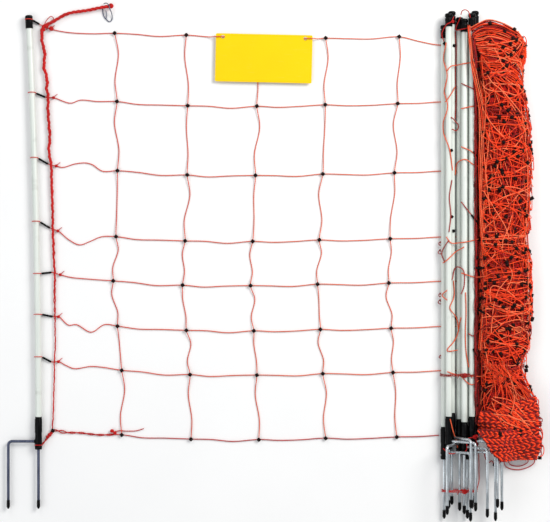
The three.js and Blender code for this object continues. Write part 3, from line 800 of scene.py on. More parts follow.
# %% Rows and columns
ROW_GAPS = [0.143, 0.147, 0.140, 0.094, 0.096, 0.094, 0.137]
ROW_BOTTOM = 0.029
ROW_SHIFT = [
    (-0.006, 0.010), (-0.001, 0.007), (0, 0), (-0.003, -0.009),
    (-0.009, -0.012), (0, -0.007), (0.009, -0.003), (0.009, 0.005),
]
COLUMN_X = [0.167, 0.315, 0.460, 0.603, 0.755]
COLUMN_SAG = [-0.001, 0.008, 0.009, 0.006, 0.0035]
TOP_ROW_SAG = [-0.003, 0.001, 0.005, 0.0075, 0.0045]
TOP_ROW_AT_BUNDLE = 0.858
UPRIGHT_SWAY = 0.007
TIES = [0.911, 0.756, 0.618, 0.483, 0.3725, 0.286, 0.196, GROOVE]
ROUTES = [
    [(0.001, 0.902), (0.025, 0.892), (0.060, 0.885), (0.110, 0.882)],
    [(0.0135, 0.747), (0.031, 0.746), (0.067, 0.7345), (0.088, 0.741), (0.125, 0.738)],
    [(0.0195, 0.605), (0.037, 0.601), (0.050, 0.598), (0.077, 0.6055), (0.099, 0.6075),
     (0.113, 0.604), (0.135, 0.590)],
    [(0.0235, 0.469), (0.0405, 0.463), (0.0625, 0.445), (0.086, 0.4335), (0.109, 0.441),
     (0.1325, 0.4505)],
    [(0.027, 0.375), (0.0455, 0.370), (0.067, 0.3645), (0.109, 0.3605)],
    [(0.0295, 0.281), (0.0415, 0.281), (0.0625, 0.263), (0.0795, 0.264), (0.111, 0.248),
     (0.139, 0.264)],
    [(0.026, 0.185), (0.0415, 0.1855), (0.056, 0.178), (0.075, 0.1705), (0.109, 0.175),
     (0.134, 0.1735)],
    [(0.014, 0.018), (0.0229, 0.0303), (0.0295, 0.0388), (0.058, 0.035), (0.088, 0.034),
     (0.124, 0.030)],
]
ROW_Z = STRAND / 2
CROSSING_Z = STRAND + GAP + STRAND / 2
KNOT_SIZE = 0.0085
KNOT_HEIGHT = 0.0042
LOOP = (TUBE + STRAND) / 2 + GAP
PLATE_Z = STRAND + GAP + KNOT_HEIGHT + GAP
PLATE_THICKNESS = 0.001

row_heights = [ROW_BOTTOM + sum(ROW_GAPS[row:]) for row in range(len(ROW_GAPS) + 1)]
ROWS, COLUMNS = len(row_heights), len(COLUMN_X)


def knot_place(row, column):
    near, far = ROW_SHIFT[row]
    share = column / (COLUMNS - 1)
    sag = (COLUMN_SAG if row else TOP_ROW_SAG)[column]
    return COLUMN_X[column] + near + (far - near) * share, row_heights[row] - sag


print(ROWS, "rows at", np.round(row_heights, 3).tolist())

# %% [markdown]
# The plate is a thin sheet, stamped out with rounded corners and two holes. A curve
# that Blender fills and extrudes cuts the holes cleanly, with no boolean, and its bevel
# rounds the stamped edge. The face stays bare.

# %% Plate
PLATE = (0.205, 0.102)
PLATE_CORNER = 0.003
PLATE_HOLE = 0.008
HOLE_INSET = (0.015, 0.007)
PLATE_TILT = math.radians(-1.3)
PLATE_OFFSET = (0.0155, -0.002)
PLATE_EDGE = 0.00015
PLATE_COLUMN = 2

middle = knot_place(0, PLATE_COLUMN)
plate_centre = (
    middle[0] + PLATE_OFFSET[0],
    middle[1] - PLATE[1] / 2 + HOLE_INSET[1] + PLATE_OFFSET[1],
)


def on_plate(x, y, z=0.0):
    c, s = math.cos(PLATE_TILT), math.sin(PLATE_TILT)
    return plate_centre[0] + x * c - y * s, plate_centre[1] + x * s + y * c, z


def rounded_outline(width, height, radius, steps=6):
    outline = []
    for cx, cy, start in ((1, -1, -90), (1, 1, 0), (-1, 1, 90), (-1, -1, 180)):
        for k in range(steps + 1):
            angle = math.radians(start + 90 * k / steps)
            outline.append((
                cx * (width / 2 - radius) + radius * math.cos(angle),
                cy * (height / 2 - radius) + radius * math.sin(angle),
            ))
    return outline


def make_plate():
    curve = bpy.data.curves.new("plate_outline", "CURVE")
    curve.dimensions, curve.fill_mode = "2D", "BOTH"
    hole_y = PLATE[1] / 2 - HOLE_INSET[1]
    holes = [
        [(side * (PLATE[0] / 2 - HOLE_INSET[0]) + PLATE_HOLE / 2 * math.cos(a),
          hole_y + PLATE_HOLE / 2 * math.sin(a)) for a in circle(24)]
        for side in (-1, 1)
    ]
    for outline in [rounded_outline(*PLATE, PLATE_CORNER), *holes]:
        spline = curve.splines.new("POLY")
        spline.points.add(len(outline) - 1)
        for point, (x, y) in zip(spline.points, outline):
            point.co = (x, y, 0, 1)
        spline.use_cyclic_u = True
    curve.extrude = PLATE_THICKNESS / 2 - PLATE_EDGE
    curve.bevel_depth = PLATE_EDGE
    curve.offset = -PLATE_EDGE
    source = bpy.data.objects.new("plate_source", curve)
    sheet = bpy.data.meshes.new_from_object(source)
    bpy.data.objects.remove(source)
    mesh = Mesh()
    points = np.array([on_plate(v.co.x, v.co.y, v.co.z) for v in sheet.vertices])
    points[:, 2] += PLATE_Z + PLATE_THICKNESS / 2
    mesh.add(points + DATUM, [tuple(p.vertices) for p in sheet.polygons])
    return mesh.object("bare_plate", yellow_plate, "plate", shade=False)


plate = make_plate()
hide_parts("sign_plate")
print("plate at", np.round(plate_centre, 3).tolist(), "with", len(plate.data.polygons), "faces")

# %% [markdown]
# Stamping leaves a faint raised border near the edge and a rim round each hole. They
# are fine closed sweeps that lie on the face, which catches the light as a moulded
# line does, and needs no fine mesh over the whole plate.

# %% Border and rims of the plate
BORDER_INSET = 0.0035
BORDER_CORNER = 0.0022
BORDER_WIRE = 0.0003
HOLE_RIM, RIM_WIRE = 0.0045, 0.00045
rim = Mesh()
top = PLATE_Z + PLATE_THICKNESS
border = rounded_outline(PLATE[0] - 2 * BORDER_INSET, PLATE[1] - 2 * BORDER_INSET, BORDER_CORNER, 8)
rim.sweep(place([on_plate(x, y, top) for x, y in border]), BORDER_WIRE, 6, close=True)
for side in (-1, 1):
    x, y = side * (PLATE[0] / 2 - HOLE_INSET[0]), PLATE[1] / 2 - HOLE_INSET[1]
    ring = [on_plate(x + HOLE_RIM * math.cos(a), y + HOLE_RIM * math.sin(a), top) for a in circle(32)]
    rim.sweep(place(ring), RIM_WIRE, 8, close=True)
rim.object("plate_moulded_border", yellow_plate, "plate")
print("border and two rims,", rim.count, "points")

# %% [markdown]
# A row starts at its loop round the end post, passes through a short black sleeve and a
# small red knot, and then runs from knot to knot to the bundle, with two slack waves in
# each mesh. The top row also threads the plate: over its edge and down through a hole,
# then up through the other hole. Physics could settle the slack, but chosen points keep
# the row on the route of its solid.

# %% Routes of the rows
OVER_PLATE = PLATE_Z + PLATE_THICKNESS + GAP + STRAND / 2
LEAVE = math.radians(-40)
SLEEVE_END_Z = 0.0022


def threading(out):
    """The row's way to the left (out -1) or right (out 1) hole and behind the plate."""
    hole = on_plate(out * (PLATE[0] / 2 - HOLE_INSET[0]), PLATE[1] / 2 - HOLE_INSET[1])
    steps = [
        (HOLE_INSET[0] + 1.5 * PLATE_HOLE, ROW_Z + 0.002),
        (HOLE_INSET[0] + 0.002, OVER_PLATE),
        (0.9 * PLATE_HOLE, OVER_PLATE + 0.0012),
        (0.4 * PLATE_HOLE, OVER_PLATE + 0.0006),
        (0, PLATE_Z + PLATE_THICKNESS / 2),
        (-0.45 * PLATE_HOLE, PLATE_Z - GAP - STRAND / 2 - 0.0009),
        (-1.4 * PLATE_HOLE, ROW_Z + 0.002),
        (-3 * PLATE_HOLE, ROW_Z),
    ]
    return [(hole[0] + out * x, hole[1], z) for x, z in steps][::-out]


bundle_left = BUNDLE_X - CAP / 2
bundle_right = BUNDLE_X + 4 * PITCH + CAP / 2


def row_route(row):
    """The points of a row from its loop round the end post to the bundle."""
    tie = TIES[row]
    axis_x = float(bow_at(np.array(tie), BOW))
    start = (axis_x + LOOP * math.cos(LEAVE), tie, POST_Z + LOOP * math.sin(LEAVE))
    sleeve_end, *rest = ROUTES[row]
    points = [start, (*sleeve_end, SLEEVE_END_Z)] + [(x, y, ROW_Z) for x, y in rest]
    for column in range(COLUMNS):
        x, y = knot_place(row, column)
        if row == 0 and column == PLATE_COLUMN:
            points += [*threading(-1), (x, y, ROW_Z), *threading(1)]
            continue
        px, py, _ = points[-1]
        if column > 0 and not (row == 0 and column == PLATE_COLUMN + 1):
            wave = 0.0016 * math.sin(3.1 * row + 2.3 * column)
            for share, sag in ((0.3, 0.0022 - wave), (0.62, 0.003 + wave)):
                points.append((px + share * (x - px), py + share * (y - py) - sag, ROW_Z))
        points.append((x, y, ROW_Z))
    px, py, _ = points[-1]
    end_y = TOP_ROW_AT_BUNDLE if row == 0 else row_heights[row]
    points.append(((px + bundle_left) / 2, (py + end_y) / 2 - 0.001, ROW_Z))
    points.append((bundle_left - 0.002, end_y, ROW_Z))
    if row < ROWS - 1:
        points.append((bundle_right + 0.012, end_y, ROW_Z))
    return points


routes = [row_route(row) for row in range(ROWS)]
print("points in the rows", [len(route) for route in routes])

# %% [markdown]
# Seven rows are orange polywire of two plies. The bottom row is red, and as far as its
# knot it is two cords wound round each other, which bulge apart at one place. Both
# halves are offset from the same line by turned side directions, half a turn apart.

# %% Polywire of the rows
CORD_STEP = 0.0014
BOTTOM_KNOT_X = 0.158
BOTTOM_PITCH, BOTTOM_SPREAD = 0.04, 0.0013
BULGE_AT, BULGE_WIDTH, BULGE_SPREAD = 0.055, 0.012, 0.0016
LOOP_SLANT, TURNS_IN_LOOP = 0.0006, 6


def wound(line, pitch, phase, flat=1.0):
    """Side directions that turn about a line, once every pitch."""
    across, up = frames(line)
    angle = (run_along(line) * 2 * math.pi / pitch + phase)[:, None]
    return across * np.cos(angle) + up * np.sin(angle) * flat


def make_bottom_row(strand, line):
    """Two cords wound round each other as far as the knot, then one."""
    doubled = int(np.searchsorted(line[:, 0], DATUM[0] + BOTTOM_KNOT_X))
    pair = line[:doubled]
    bulge = np.exp(-((run_along(pair) - BULGE_AT) / BULGE_WIDTH) ** 2)
    spread = (BOTTOM_SPREAD + BULGE_SPREAD * bulge)[:, None]
    for phase in (0, math.pi):
        half = pair + wound(pair, BOTTOM_PITCH, phase, 0.3) * spread + (0, 0, 0.0004)
        strand.sweep(half, STRAND * 0.52, 8, plies=2, pitch=0.008)
    strand.sweep(line[doubled - 3:], STRAND / 2, **STRAND_TWIST)


def make_post_loop(strand, row):
    """The tight loop of a row round the end post, slightly on the slant."""
    axis_x = float(bow_at(np.array(TIES[row]), BOW))
    c, s = np.cos(circle(60)), np.sin(circle(60))
    ring = np.stack([axis_x + LOOP * c, TIES[row] + LOOP_SLANT * s, POST_Z + LOOP * s], 1)
    pitch = 2 * math.pi * LOOP / TURNS_IN_LOOP
    strand.sweep(ring + DATUM, STRAND / 2 * 0.8, 8, plies=2, pitch=pitch, close=True)


for row, route in enumerate(routes):
    strand, last = Mesh(), row == ROWS - 1
    line = smooth(place(route), CORD_STEP)
    if last:
        make_bottom_row(strand, line)
    else:
        strand.sweep(line, STRAND / 2, **STRAND_TWIST, phase=row)
    make_post_loop(strand, row)
    item = strand.object(f"row_{row + 1}_polywire", red_cord if last else net_cord, "net_cord")
    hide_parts(f"strand_{row + 1}")
    print(item.name, round(float(run_along(line)[-1]), 3), "m")

# %% [markdown]
# A black sleeve is slipped over each row where it leaves its loop, and a scrap of red
# cord is knotted on behind it, with one tail sticking up. The sleeve is crimped: two
# slight necks and drawn-in ends tell it from a plain tube.

# %% Sleeves and tie knots
SLEEVE = 0.0044
SLEEVE_RINGS = 12
TIE_KNOT, BOTTOM_TIE_KNOT = 0.0034, 0.0042
TIE_KNOT_Z = 0.0034

for row, route in enumerate(routes):
    last = row == ROWS - 1
    begin, end = (np.array(p) for p in route[:2])
    if not last:
        sleeve = Mesh()
        body = begin + np.linspace(0.1, 1.0, SLEEVE_RINGS)[:, None] * (end - begin)
        radii = np.full(SLEEVE_RINGS, SLEEVE / 2)
        radii[[0, -1]] *= 0.72
        radii[[4, 7]] *= 0.86
        sleeve.sweep(body + DATUM, radii, 16)
        sleeve.object(f"row_{row + 1}_black_sleeve", black_plastic, "black_plastic")
    tie_knot = Mesh()
    x, y, _ = route[2]
    knot(tie_knot, place([(x, y, TIE_KNOT_Z)])[0], BOTTOM_TIE_KNOT if last else TIE_KNOT)
    tail = [(x, y, 0.004), (x + 0.004, y + 0.004, 0.003), (x + 0.008, y + 0.0075, 0.0018)]
    tie_knot.sweep(smooth(place(tail), 0.001), 0.0009, 6, 2)
    tie_knot.object(f"row_{row + 1}_red_tie_knot", red_cord, "red_cord")
print(ROWS - 1, "sleeves and", ROWS, "tie knots")

# %% [markdown]
# An upright crosses over every row and sways a little between two of them. Where it
# crosses, a black clip is moulded round both cords: a rounded diamond with a short band
# along each cord. All forty clips share one mesh, and each is turned a little, since
# the cords never cross quite square.

# %% Uprights and moulded knots


def upright_route(column):
    points = []
    for row in range(ROWS):
        x, y = knot_place(row, column)
        if row:
            px, py, _ = points[-1]
            sway = UPRIGHT_SWAY * math.sin(2.1 * row + 1.7 * column)
            points.append((px * 0.7 + x * 0.3 + sway, py * 0.7 + y * 0.3, ROW_Z))
            points.append((px * 0.3 + x * 0.7 - 0.5 * sway, py * 0.3 + y * 0.7, ROW_Z))
        points.append((x, y, CROSSING_Z))
    return points


def moulded_knot(mesh, centre, size=KNOT_SIZE, turn=0.0, rings=6, sides=12):
    """The black clip moulded over a crossing: a rounded diamond with a band along each cord."""
    height = KNOT_HEIGHT * size / KNOT_SIZE
    mesh.lump(centre, (size / 2, size / 2, height / 2), turn, rings, sides, power=1.15)
    for quarter in (0, math.pi / 2):
        way = np.array([math.cos(turn + quarter), math.sin(turn + quarter), 0]) * size * 0.54
        line = np.array(centre) + np.linspace(-1, 1, 5)[:, None] * way
        radii = np.array([0.3, 0.42, 0.48, 0.42, 0.3]) * height * 0.7
        mesh.sweep(line, radii, sides // 2 + 1)


knots = Mesh()
for column in range(COLUMNS):
    upright = Mesh()
    upright.sweep(smooth(place(upright_route(column)), CORD_STEP), STRAND / 2, **STRAND_TWIST)
    item = upright.object(f"upright_{column + 1}_polywire", net_cord, "net_cord")
    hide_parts(f"upright_{column + 1}")
    for row in range(ROWS):
        x, y = knot_place(row, column)
        turn = 0.25 * math.sin(5 * row + 3 * column)
        moulded_knot(knots, place([(x, y, STRAND + GAP + KNOT_HEIGHT / 2)])[0], turn=turn)
knots.object("moulded_net_knots", knot_plastic, "black_plastic")
print(COLUMNS, "uprights with", ROWS * COLUMNS, "moulded knots")

# %% [markdown]
# The edge cord is where the rows' wires are gathered: thick and tightly twisted at the
# top, it grows thinner from row to row until a single cord runs to the corner knot. One
# sweep with a thickness that changes along it shows this without any joints.

# %% Edge cord
EDGE_ROUTE = [
    (0.007, 0.876), (0.0075, 0.863), (0.012, 0.846), (0.0125, 0.829), (0.011, 0.812),
    (0.015, 0.797), (0.018, 0.782), (0.017, 0.765), (0.020, 0.748), (0.0195, 0.726),
    (0.021, 0.697), (0.0235, 0.661), (0.0215, 0.634), (0.024, 0.617), (0.0265, 0.600),
    (0.0275, 0.570), (0.029, 0.520), (0.0297, 0.496), (0.0297, 0.466), (0.031, 0.430),
    (0.032, 0.400), (0.034, 0.375), (0.034, 0.337), (0.0345, 0.280), (0.0345, 0.252),
    (0.035, 0.220), (0.033, 0.186), (0.033, 0.157), (0.032, 0.125), (0.0305, 0.072),
    (0.029, 0.049),
]
THICK, THIN = 0.0066, 0.0028
EDGE_THICKNESS = {0: THICK, 0.2: 0.0062, 0.45: 0.0054, 0.62: 0.0042, 0.74: THIN, 1: THIN}
EDGE_PITCH = 0.026
MEETS_LEAD = [(0.0066, 0.8835), (0.0058, 0.8795)]
edge_line = smooth(np.array([(x, y, 0) for x, y in MEETS_LEAD + EDGE_ROUTE]), 0.0011)
fall = (edge_line[0, 1] - edge_line[:, 1]) / (edge_line[0, 1] - edge_line[-1, 1])
thickness = np.interp(fall, list(EDGE_THICKNESS), list(EDGE_THICKNESS.values()))
edge_line[:, 2] = STRAND + GAP + thickness / 2
edge_line[:, 0] += 0.0007 * np.sin(np.arange(len(edge_line)) * 0.33) * thickness / THICK
edge_line = edge_line + DATUM
edge = Mesh()
rope(edge, edge_line, thickness, pitch=EDGE_PITCH)
item = edge.object("edge_twist", red_cord, "red_cord")
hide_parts("edge_cord")
print("edge cord", round(float(np.ptp(edge_line[:, 1])), 3), "m tall")

# %% [markdown]
# Old twisted cord works loose: here and there one ply lifts off for a few turns, and at
# the top a loop is left over from tying. Each loose ply follows a stretch of the edge
# cord's own line, pushed aside most in its middle, so it starts and ends on the cord.

# %% Loose plies
PLY_STARTS = (20, 150, 260, 370, 470)
PLY_STRETCH = 90
TOP_LOOP = [
    (0.007, 0.886, 0.006), (0.011, 0.898, 0.0075), (0.018, 0.911, 0.0075), (0.026, 0.918, 0.006),
    (0.031, 0.915, 0.003), (0.029, 0.907, 0.0015), (0.021, 0.900, 0.0013), (0.016, 0.890, 0.0013),
]
plies = Mesh()
for k, start in enumerate(PLY_STARTS):
    ply = edge_line[start:start + PLY_STRETCH].copy()
    swing = np.sin(np.linspace(0, math.pi, len(ply)))
    ply[:, 0] += swing * (0.0022 if k % 2 else -0.0018) + 0.0012 * np.sin(np.arange(len(ply)) * 0.35)
    ply[:, 2] += swing * 0.001
    plies.sweep(ply, 0.0008, 6, 2)
plies.sweep(smooth(place(TOP_LOOP), 0.0012), 0.0011, 8, 2)
plies.object("loose_edge_plies", red_cord, "red_cord")
print(len(PLY_STARTS), "loose plies and a loop")

# %% [markdown]
# The net's two corners beside the end post are tied by hand, with several knots in a
# row, and the bottom row's tail is left long. The lowest corner also has a moulded
# clip of its own.

# %% Corner knots
CORNER_KNOTS = [
    (0.0265, 0.8925, 0.0050, 0.0052), (0.0165, 0.8975, 0.0065, 0.0050), (0.0100, 0.8900, 0.0070, 0.0044),
    (0.1555, 0.0385, 0.0044, 0.0042), (0.1615, 0.0338, 0.0040, 0.0038), (0.0190, 0.0260, 0.0040, 0.0038),
    (0.0229, 0.0303, 0.0046, 0.0044), (0.0265, 0.0340, 0.0036, 0.0034),
]
BOTTOM_TAIL = [
    (0.158, 0.036, 0.004), (0.170, 0.0385, 0.002), (0.1885, 0.0378, 0.0014), (0.2067, 0.0385, 0.0014),
    (0.2226, 0.0432, 0.0018),
]
TO_CORNER = [(0.0290, 0.0505, 0.0040), (0.0291, 0.0450, 0.0038), (0.0295, 0.0400, 0.0036)]
LOWEST_KNOT = (0.0295, 0.0392, 0.0050)
corner_knots = Mesh()
for x, y, z, size in CORNER_KNOTS:
    knot(corner_knots, place([(x, y, z)])[0], size)
corner_knots.sweep(smooth(place(BOTTOM_TAIL), 0.0012), 0.0011, 8, 2)
corner_knots.sweep(smooth(place(TO_CORNER), 0.001), THIN / 2, 8, 2)
corner_knots.object("red_corner_knots", red_cord, "red_cord")
lowest = Mesh()
moulded_knot(lowest, place([LOWEST_KNOT])[0], turn=0.4)
lowest.object("corner_moulded_knot", knot_plastic, "black_plastic")
print(len(CORNER_KNOTS), "corner knots")

# %% [markdown]
# The folded net is one long net laid back and forth beside the posts, and tied in so
# that it narrows at its waists. Cloth simulation suits sheets, not a heap of open net.
# So its outline is drawn from above, its section is a flattened oval, and a function
# gives any place on the heap from how far across and how far up the drawing it is. All
# cords are laid with it.

# %% Shape of the folded net
NET_THICKNESS = 0.048
NET_MIDDLE = 0.022
NET_OUTLINE = [
    (0.904, 0.975, 0.012), (0.886, 1.015, 0.002), (0.857, 1.030, 0), (0.826, 1.027, 0),
    (0.789, 1.008, 0.001), (0.757, 1.029, 0), (0.697, 1.037, 0), (0.613, 1.043, 0),
    (0.528, 1.039, 0), (0.464, 1.037, 0), (0.443, 1.025, 0.001), (0.417, 1.039, 0),
    (0.316, 1.042, 0), (0.220, 1.037, 0.001), (0.176, 1.020, 0.004), (0.129, 1.040, 0.004),
    (0.104, 1.054, 0.003), (0.072, 1.061, 0.005), (0.048, 1.063, 0.018),
    (0.028, 1.065, 0.048), (0.014, 1.066, 0.062), (-0.004, 1.066, 0.066),
    (-0.019, 1.061, 0.072),
]
NET_HALF = NET_THICKNESS - NET_MIDDLE
TOP_INSET = 0.0024
HIGHEST_CORD = NET_THICKNESS + 0.008
END_OVERHANG, END_TAPER = 0.006, 0.05
outline = np.array(NET_OUTLINE)[::-1]


def net_span(y):
    """Left and right edges of the folded net, and how full it is towards its two ends."""
    right = np.interp(y, outline[:, 0], outline[:, 1])
    left = bundle_right + 0.001 + np.interp(y, outline[:, 0], outline[:, 2])
    ends = np.minimum(outline[-1, 0] + END_OVERHANG - y, y - outline[0, 0] + END_OVERHANG) / END_TAPER
    return left, right, np.clip(ends, 0.02, 1) ** 0.5


def middle_height(full):
    """The height of the heap's widest place, which sinks where the heap is less full."""
    return NET_MIDDLE * (0.45 + 0.55 * full)


def on_net(across, y, lift=0.0):
    """A place on the folded net: across from -1 (left) to 1 (right), lift inwards or out."""
    across, y = np.broadcast_arrays(np.asarray(across, float), np.asarray(y, float))
    left, right, full = net_span(y)
    angle = across * math.pi / 2
    x = (left + right) / 2 + (right - left) / 2 * np.sin(angle)
    z = middle_height(full) + ((NET_HALF - TOP_INSET) * np.cos(angle) * full + lift)
    return np.stack([x, y, np.clip(z, STRAND * 0.6, HIGHEST_CORD)], -1)


print("folded net", round(float(np.ptp(outline[:, 0])), 3), "m long")

# %% [markdown]
# Between the cords one looks down into a dark heap of more net. Laying those hidden
# cords too would cost millions of triangles, so a lumpy core fills the heap just under
# the outer cords, and its paint carries the deeper ones as two sets of warped stripes
# that cross. The paint is painted shade: near black between the stripes, and a dim red
# in them.

# %% Inside of the folded net
CORE_RINGS, CORE_SIDES = 150, 48
CORE_SIDE_INSET, CORE_TOP_INSET = 0.0045, 0.0065
LUMP_HEIGHT = 0.0012

core_ys = np.linspace(outline[0, 0] + 0.012, outline[-1, 0] - 0.008, CORE_RINGS)
core_angles = circle(CORE_SIDES)
core_left, core_right, core_full = (values[:, None] for values in net_span(core_ys))
lumps = LUMP_HEIGHT * np.sin(core_ys * 310)[:, None] * np.sin(core_angles * 7 + 3)[None, :]
core_half = (core_right - core_left) / 2 - CORE_SIDE_INSET
core_rise = ((NET_HALF - CORE_TOP_INSET) * core_full + lumps) * np.cos(core_angles)
core_points = np.stack([
    (core_left + core_right) / 2 + (core_half + lumps) * np.sin(core_angles),
    np.broadcast_to(core_ys[:, None], lumps.shape),
    np.maximum(middle_height(core_full) + core_rise, 0.0015),
], -1)
index = np.arange(lumps.size).reshape(lumps.shape)
core = Mesh()
quads = np.stack([index[:-1], np.roll(index[:-1], -1, 1), np.roll(index[1:], -1, 1), index[1:]], -1)
ends = [index[0][::-1].tolist(), index[-1].tolist()]
core.add(core_points.reshape(-1, 3) + DATUM, quads.reshape(-1, 4).tolist() + ends)


def core_paint():
    p = Paint("folded_net_inside", Specular_IOR_Level=0.15)

    def stripes_along(axis, scale, distortion):
        settings = {"bands_direction": axis}
        sockets = {"Vector": p.here, "Scale": scale, "Distortion": distortion, "Detail": 3.0}
        return p.node("ShaderNodeTexWave", settings, **sockets, output=1)

    stripes = stripes_along("X", 62.0, 14.0).maths("MAXIMUM", stripes_along("Y", 40.0, 18.0))
    # near black between the stripes and a dim red in them: painted shade deep in the heap
    colour = p.blend(p.step(stripes, 0.45, 0.95), (0.02, 0.001, 0.001, 1), (0.5, 0.008, 0.003, 1))
    return p.finish(colour, 0.75 - 0.1 * stripes, stripes, 0.7, 0.002)


item = core.object("folded_net_inside", core_paint(), "net_cord")
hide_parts("folded_net")
print("its inside has", len(item.data.polygons), "faces")

# %% [markdown]
# The cords on the heap are shared out over a few meshes, two for each tone, so that no
# mesh grows too large. Cords that run lengthways bend less than those across, so their
# line takes longer steps. Tones are drawn at random by weights: mostly bright, with a
# few pale, dark and deep red ones. Pale is a painted highlight, and dark and shaded are
# painted shade.

# %% Laying a cord on the fold
FOLD_STEP = {"lengthways": 0.0038, "across": 0.0028}
FOLD_KNOT = 0.0090
CORD_RADIUS = STRAND / 2
# pale: painted highlight; dark and shaded: painted shade; deep: the red cord's own colour
TONES = {
    "bright": orange_cord, "pale": painted_highlight_cord, "dark": dark_cord, "deep": red_cord, "shaded": shaded_cord,
}
MIXED = [0.6, 0.25, 0.1, 0.05]
folds = {(tone, part): Mesh() for tone in TONES for part in ("lengthways", "across")}
fold_knots = Mesh()
laid = 0


def lay(points, tone, part, radius=CORD_RADIUS, spacing=None):
    """Lay one cord through points, never under the floor, and give its line back."""
    global laid
    line = smooth(place(points), spacing or FOLD_STEP[part])
    line[:, 2] = np.maximum(line[:, 2], radius)
    folds[tone, part].sweep(line, radius, **FOLD_TWIST, phase=laid)
    laid += 1
    return line


def fold_knot(centre):
    """One of the black knots of the fold, turned any way."""
    moulded_knot(fold_knots, centre, FOLD_KNOT, rng.uniform(0, math.pi), rings=5, sides=8)


def pick_tone(weights):
    """One of the first tones, as likely as its weight."""
    return str(rng.choice(list(TONES)[:len(weights)], p=weights))


def walk(start, step_size, count, low=-1.0, high=1.0):
    """A slow random walk that is turned back at its ends."""
    values, value, drift = [], start, 0.0
    for _ in range(count):
        values.append(value)
        drift = 0.6 * drift + rng.normal(0, step_size)
        value += drift
        if not low < value < high:
            value, drift = min(max(value, low), high), -drift
    return np.array(values)


print("tones", list(TONES))

# %% [markdown]
# The uprights of all the folded bays run lengthways, but slack. Each is a slow random
# walk across the heap, so it wanders without kinks, and it lies a little above or below
# its neighbours. Those that lie on top get one of the net's black knots.

# %% Cords along the fold
UPRIGHTS_FOLDED = 104
WALK_STEP = 0.03
TOP_END, FOOT_END = 0.893, -0.008

for k in range(UPRIGHTS_FOLDED):
    high = rng.uniform(0.45, TOP_END) if k % 3 else rng.uniform(0.15, TOP_END)
    low = max(high - rng.uniform(0.12, 0.55), FOOT_END)
    ys = np.arange(high, low, -WALK_STEP)
    if len(ys) < 3:
        continue
    ys = ys + rng.normal(0, 0.005, len(ys))
    across = walk(rng.uniform(-0.95, 0.98), 0.085, len(ys), -0.98, 0.99)
    lift = rng.uniform(-0.004, 0.0035) + rng.normal(0, 0.0012, len(ys))
    line = lay(on_net(across, ys, lift), pick_tone([0.58, 0.14, 0.2, 0.08]), "lengthways")
    if lift.mean() > -0.002:
        spot = line[rng.integers(3, len(line) - 3)]
        fold_knot(spot + (0, 0, 0.0008))
print(laid, "cords lie lengthways")

# %% [markdown]
# A folded row runs from edge to edge, turns back in a small loop and crosses again.
# Three crossings make one cord here. They start at the heights where the rows of the
# net lie bunched, and every crossing has a slope and a bow of its own.

# %% Cords across the fold
BUNCHED_ROWS = [
    0.876, 0.838, 0.800, 0.737, 0.690, 0.640, 0.590, 0.548, 0.500, 0.450, 0.428, 0.390, 0.356,
    0.322, 0.290, 0.260, 0.232, 0.200, 0.160,
]
CORDS_A_ROW, CROSSINGS = 3, 3
HIGHEST_Y = outline[-1, 0] - 0.008
KNOT_FROM_Z = 0.012

for number, height in enumerate(BUNCHED_ROWS):
    side = 1 if number % 2 else -1
    for _ in range(CORDS_A_ROW):
        y = height + rng.normal(0, 0.016)
        points = []
        for _ in range(CROSSINGS):
            slope, bow = rng.normal(0, 0.02), rng.normal(0, 0.011)
            share = np.linspace(-1, 1, 7)
            across = share * -side * 0.97 + rng.normal(0, 0.04, 7)
            ys = y + slope * share + bow * (1 - share ** 2) + rng.normal(0, 0.0022, 7)
            ys = np.minimum(ys, HIGHEST_Y)
            run = on_net(np.clip(across[::-1], -1, 1), ys, rng.uniform(-0.002, 0.0042))
            points += run.tolist()
            loop_out = rng.uniform(0.001, 0.0055) * (1 if side > 0 else 0.3)
            last = run[-1] + (side * loop_out, -0.003, -0.002)
            points.append((last + (0, -rng.uniform(0.002, 0.007), 0)).tolist())
            y = ys[-1] - 0.006 - slope + rng.normal(0, 0.004)
            side = -side
        line = lay(points, pick_tone([0.58, 0.18, 0.18, 0.06]), "across")
        for _ in range(3):
            spot = line[rng.integers(5, len(line) - 5)]
            if spot[2] - DATUM[2] > KNOT_FROM_Z:
                fold_knot(spot + (0, 0, 0.001))
print(laid, "cords laid on the fold")

# %% [markdown]
# Down the left side of the heap runs a bundle of the net's edge cords, gathered by the
# folding. It looks lighter because four of its six cords take the pale tone, a painted
# highlight where the bundle lies high on the heap. Six cords wind slowly round one line,
# each a sixth of a turn on, and the line's height follows the heap below.

# %% Band of edge cords
BAND_CORDS = 6
BAND_WIDTH, BAND_LIFT = 0.0034, 0.0014
BAND_HEIGHT = {0.2: 0.030, 0.35: 0.034, 0.6: 0.034, 0.72: 0.036, 0.83: 0.0415, 0.9: 0.040}
BAND = [
    (0.9084, 0.8932), (0.9148, 0.8253), (0.9339, 0.7193), (0.9360, 0.6345), (0.9339, 0.5285),
    (0.9445, 0.3165), (0.9339, 0.2105),
]
band_line = smooth(np.array([(x, y, 0) for x, y in BAND]), 0.03)
for k in range(BAND_CORDS):
    turn = np.arange(len(band_line)) * 0.5 + k * 2 * math.pi / BAND_CORDS
    x = band_line[:, 0] + BAND_WIDTH * np.sin(turn) + 0.0008 * (k - 2.5)
    y = band_line[:, 1] + rng.normal(0, 0.002, len(band_line))
    z = np.interp(y, list(BAND_HEIGHT), list(BAND_HEIGHT.values())) + BAND_LIFT * np.cos(turn)
    # the pale tone on four of six cords: painted highlight
    lay(np.stack([x, y, z], 1), "pale" if k % 3 else "bright", "lengthways")
print(BAND_CORDS, "cords in the band")

# %% [markdown]
# On top of the ordered cords lies slack that wanders off in every direction: short
# arches between two places chosen at random. This is what makes the heap look tangled
# and not combed.

# %% Slack
SLACK_CORDS = 90


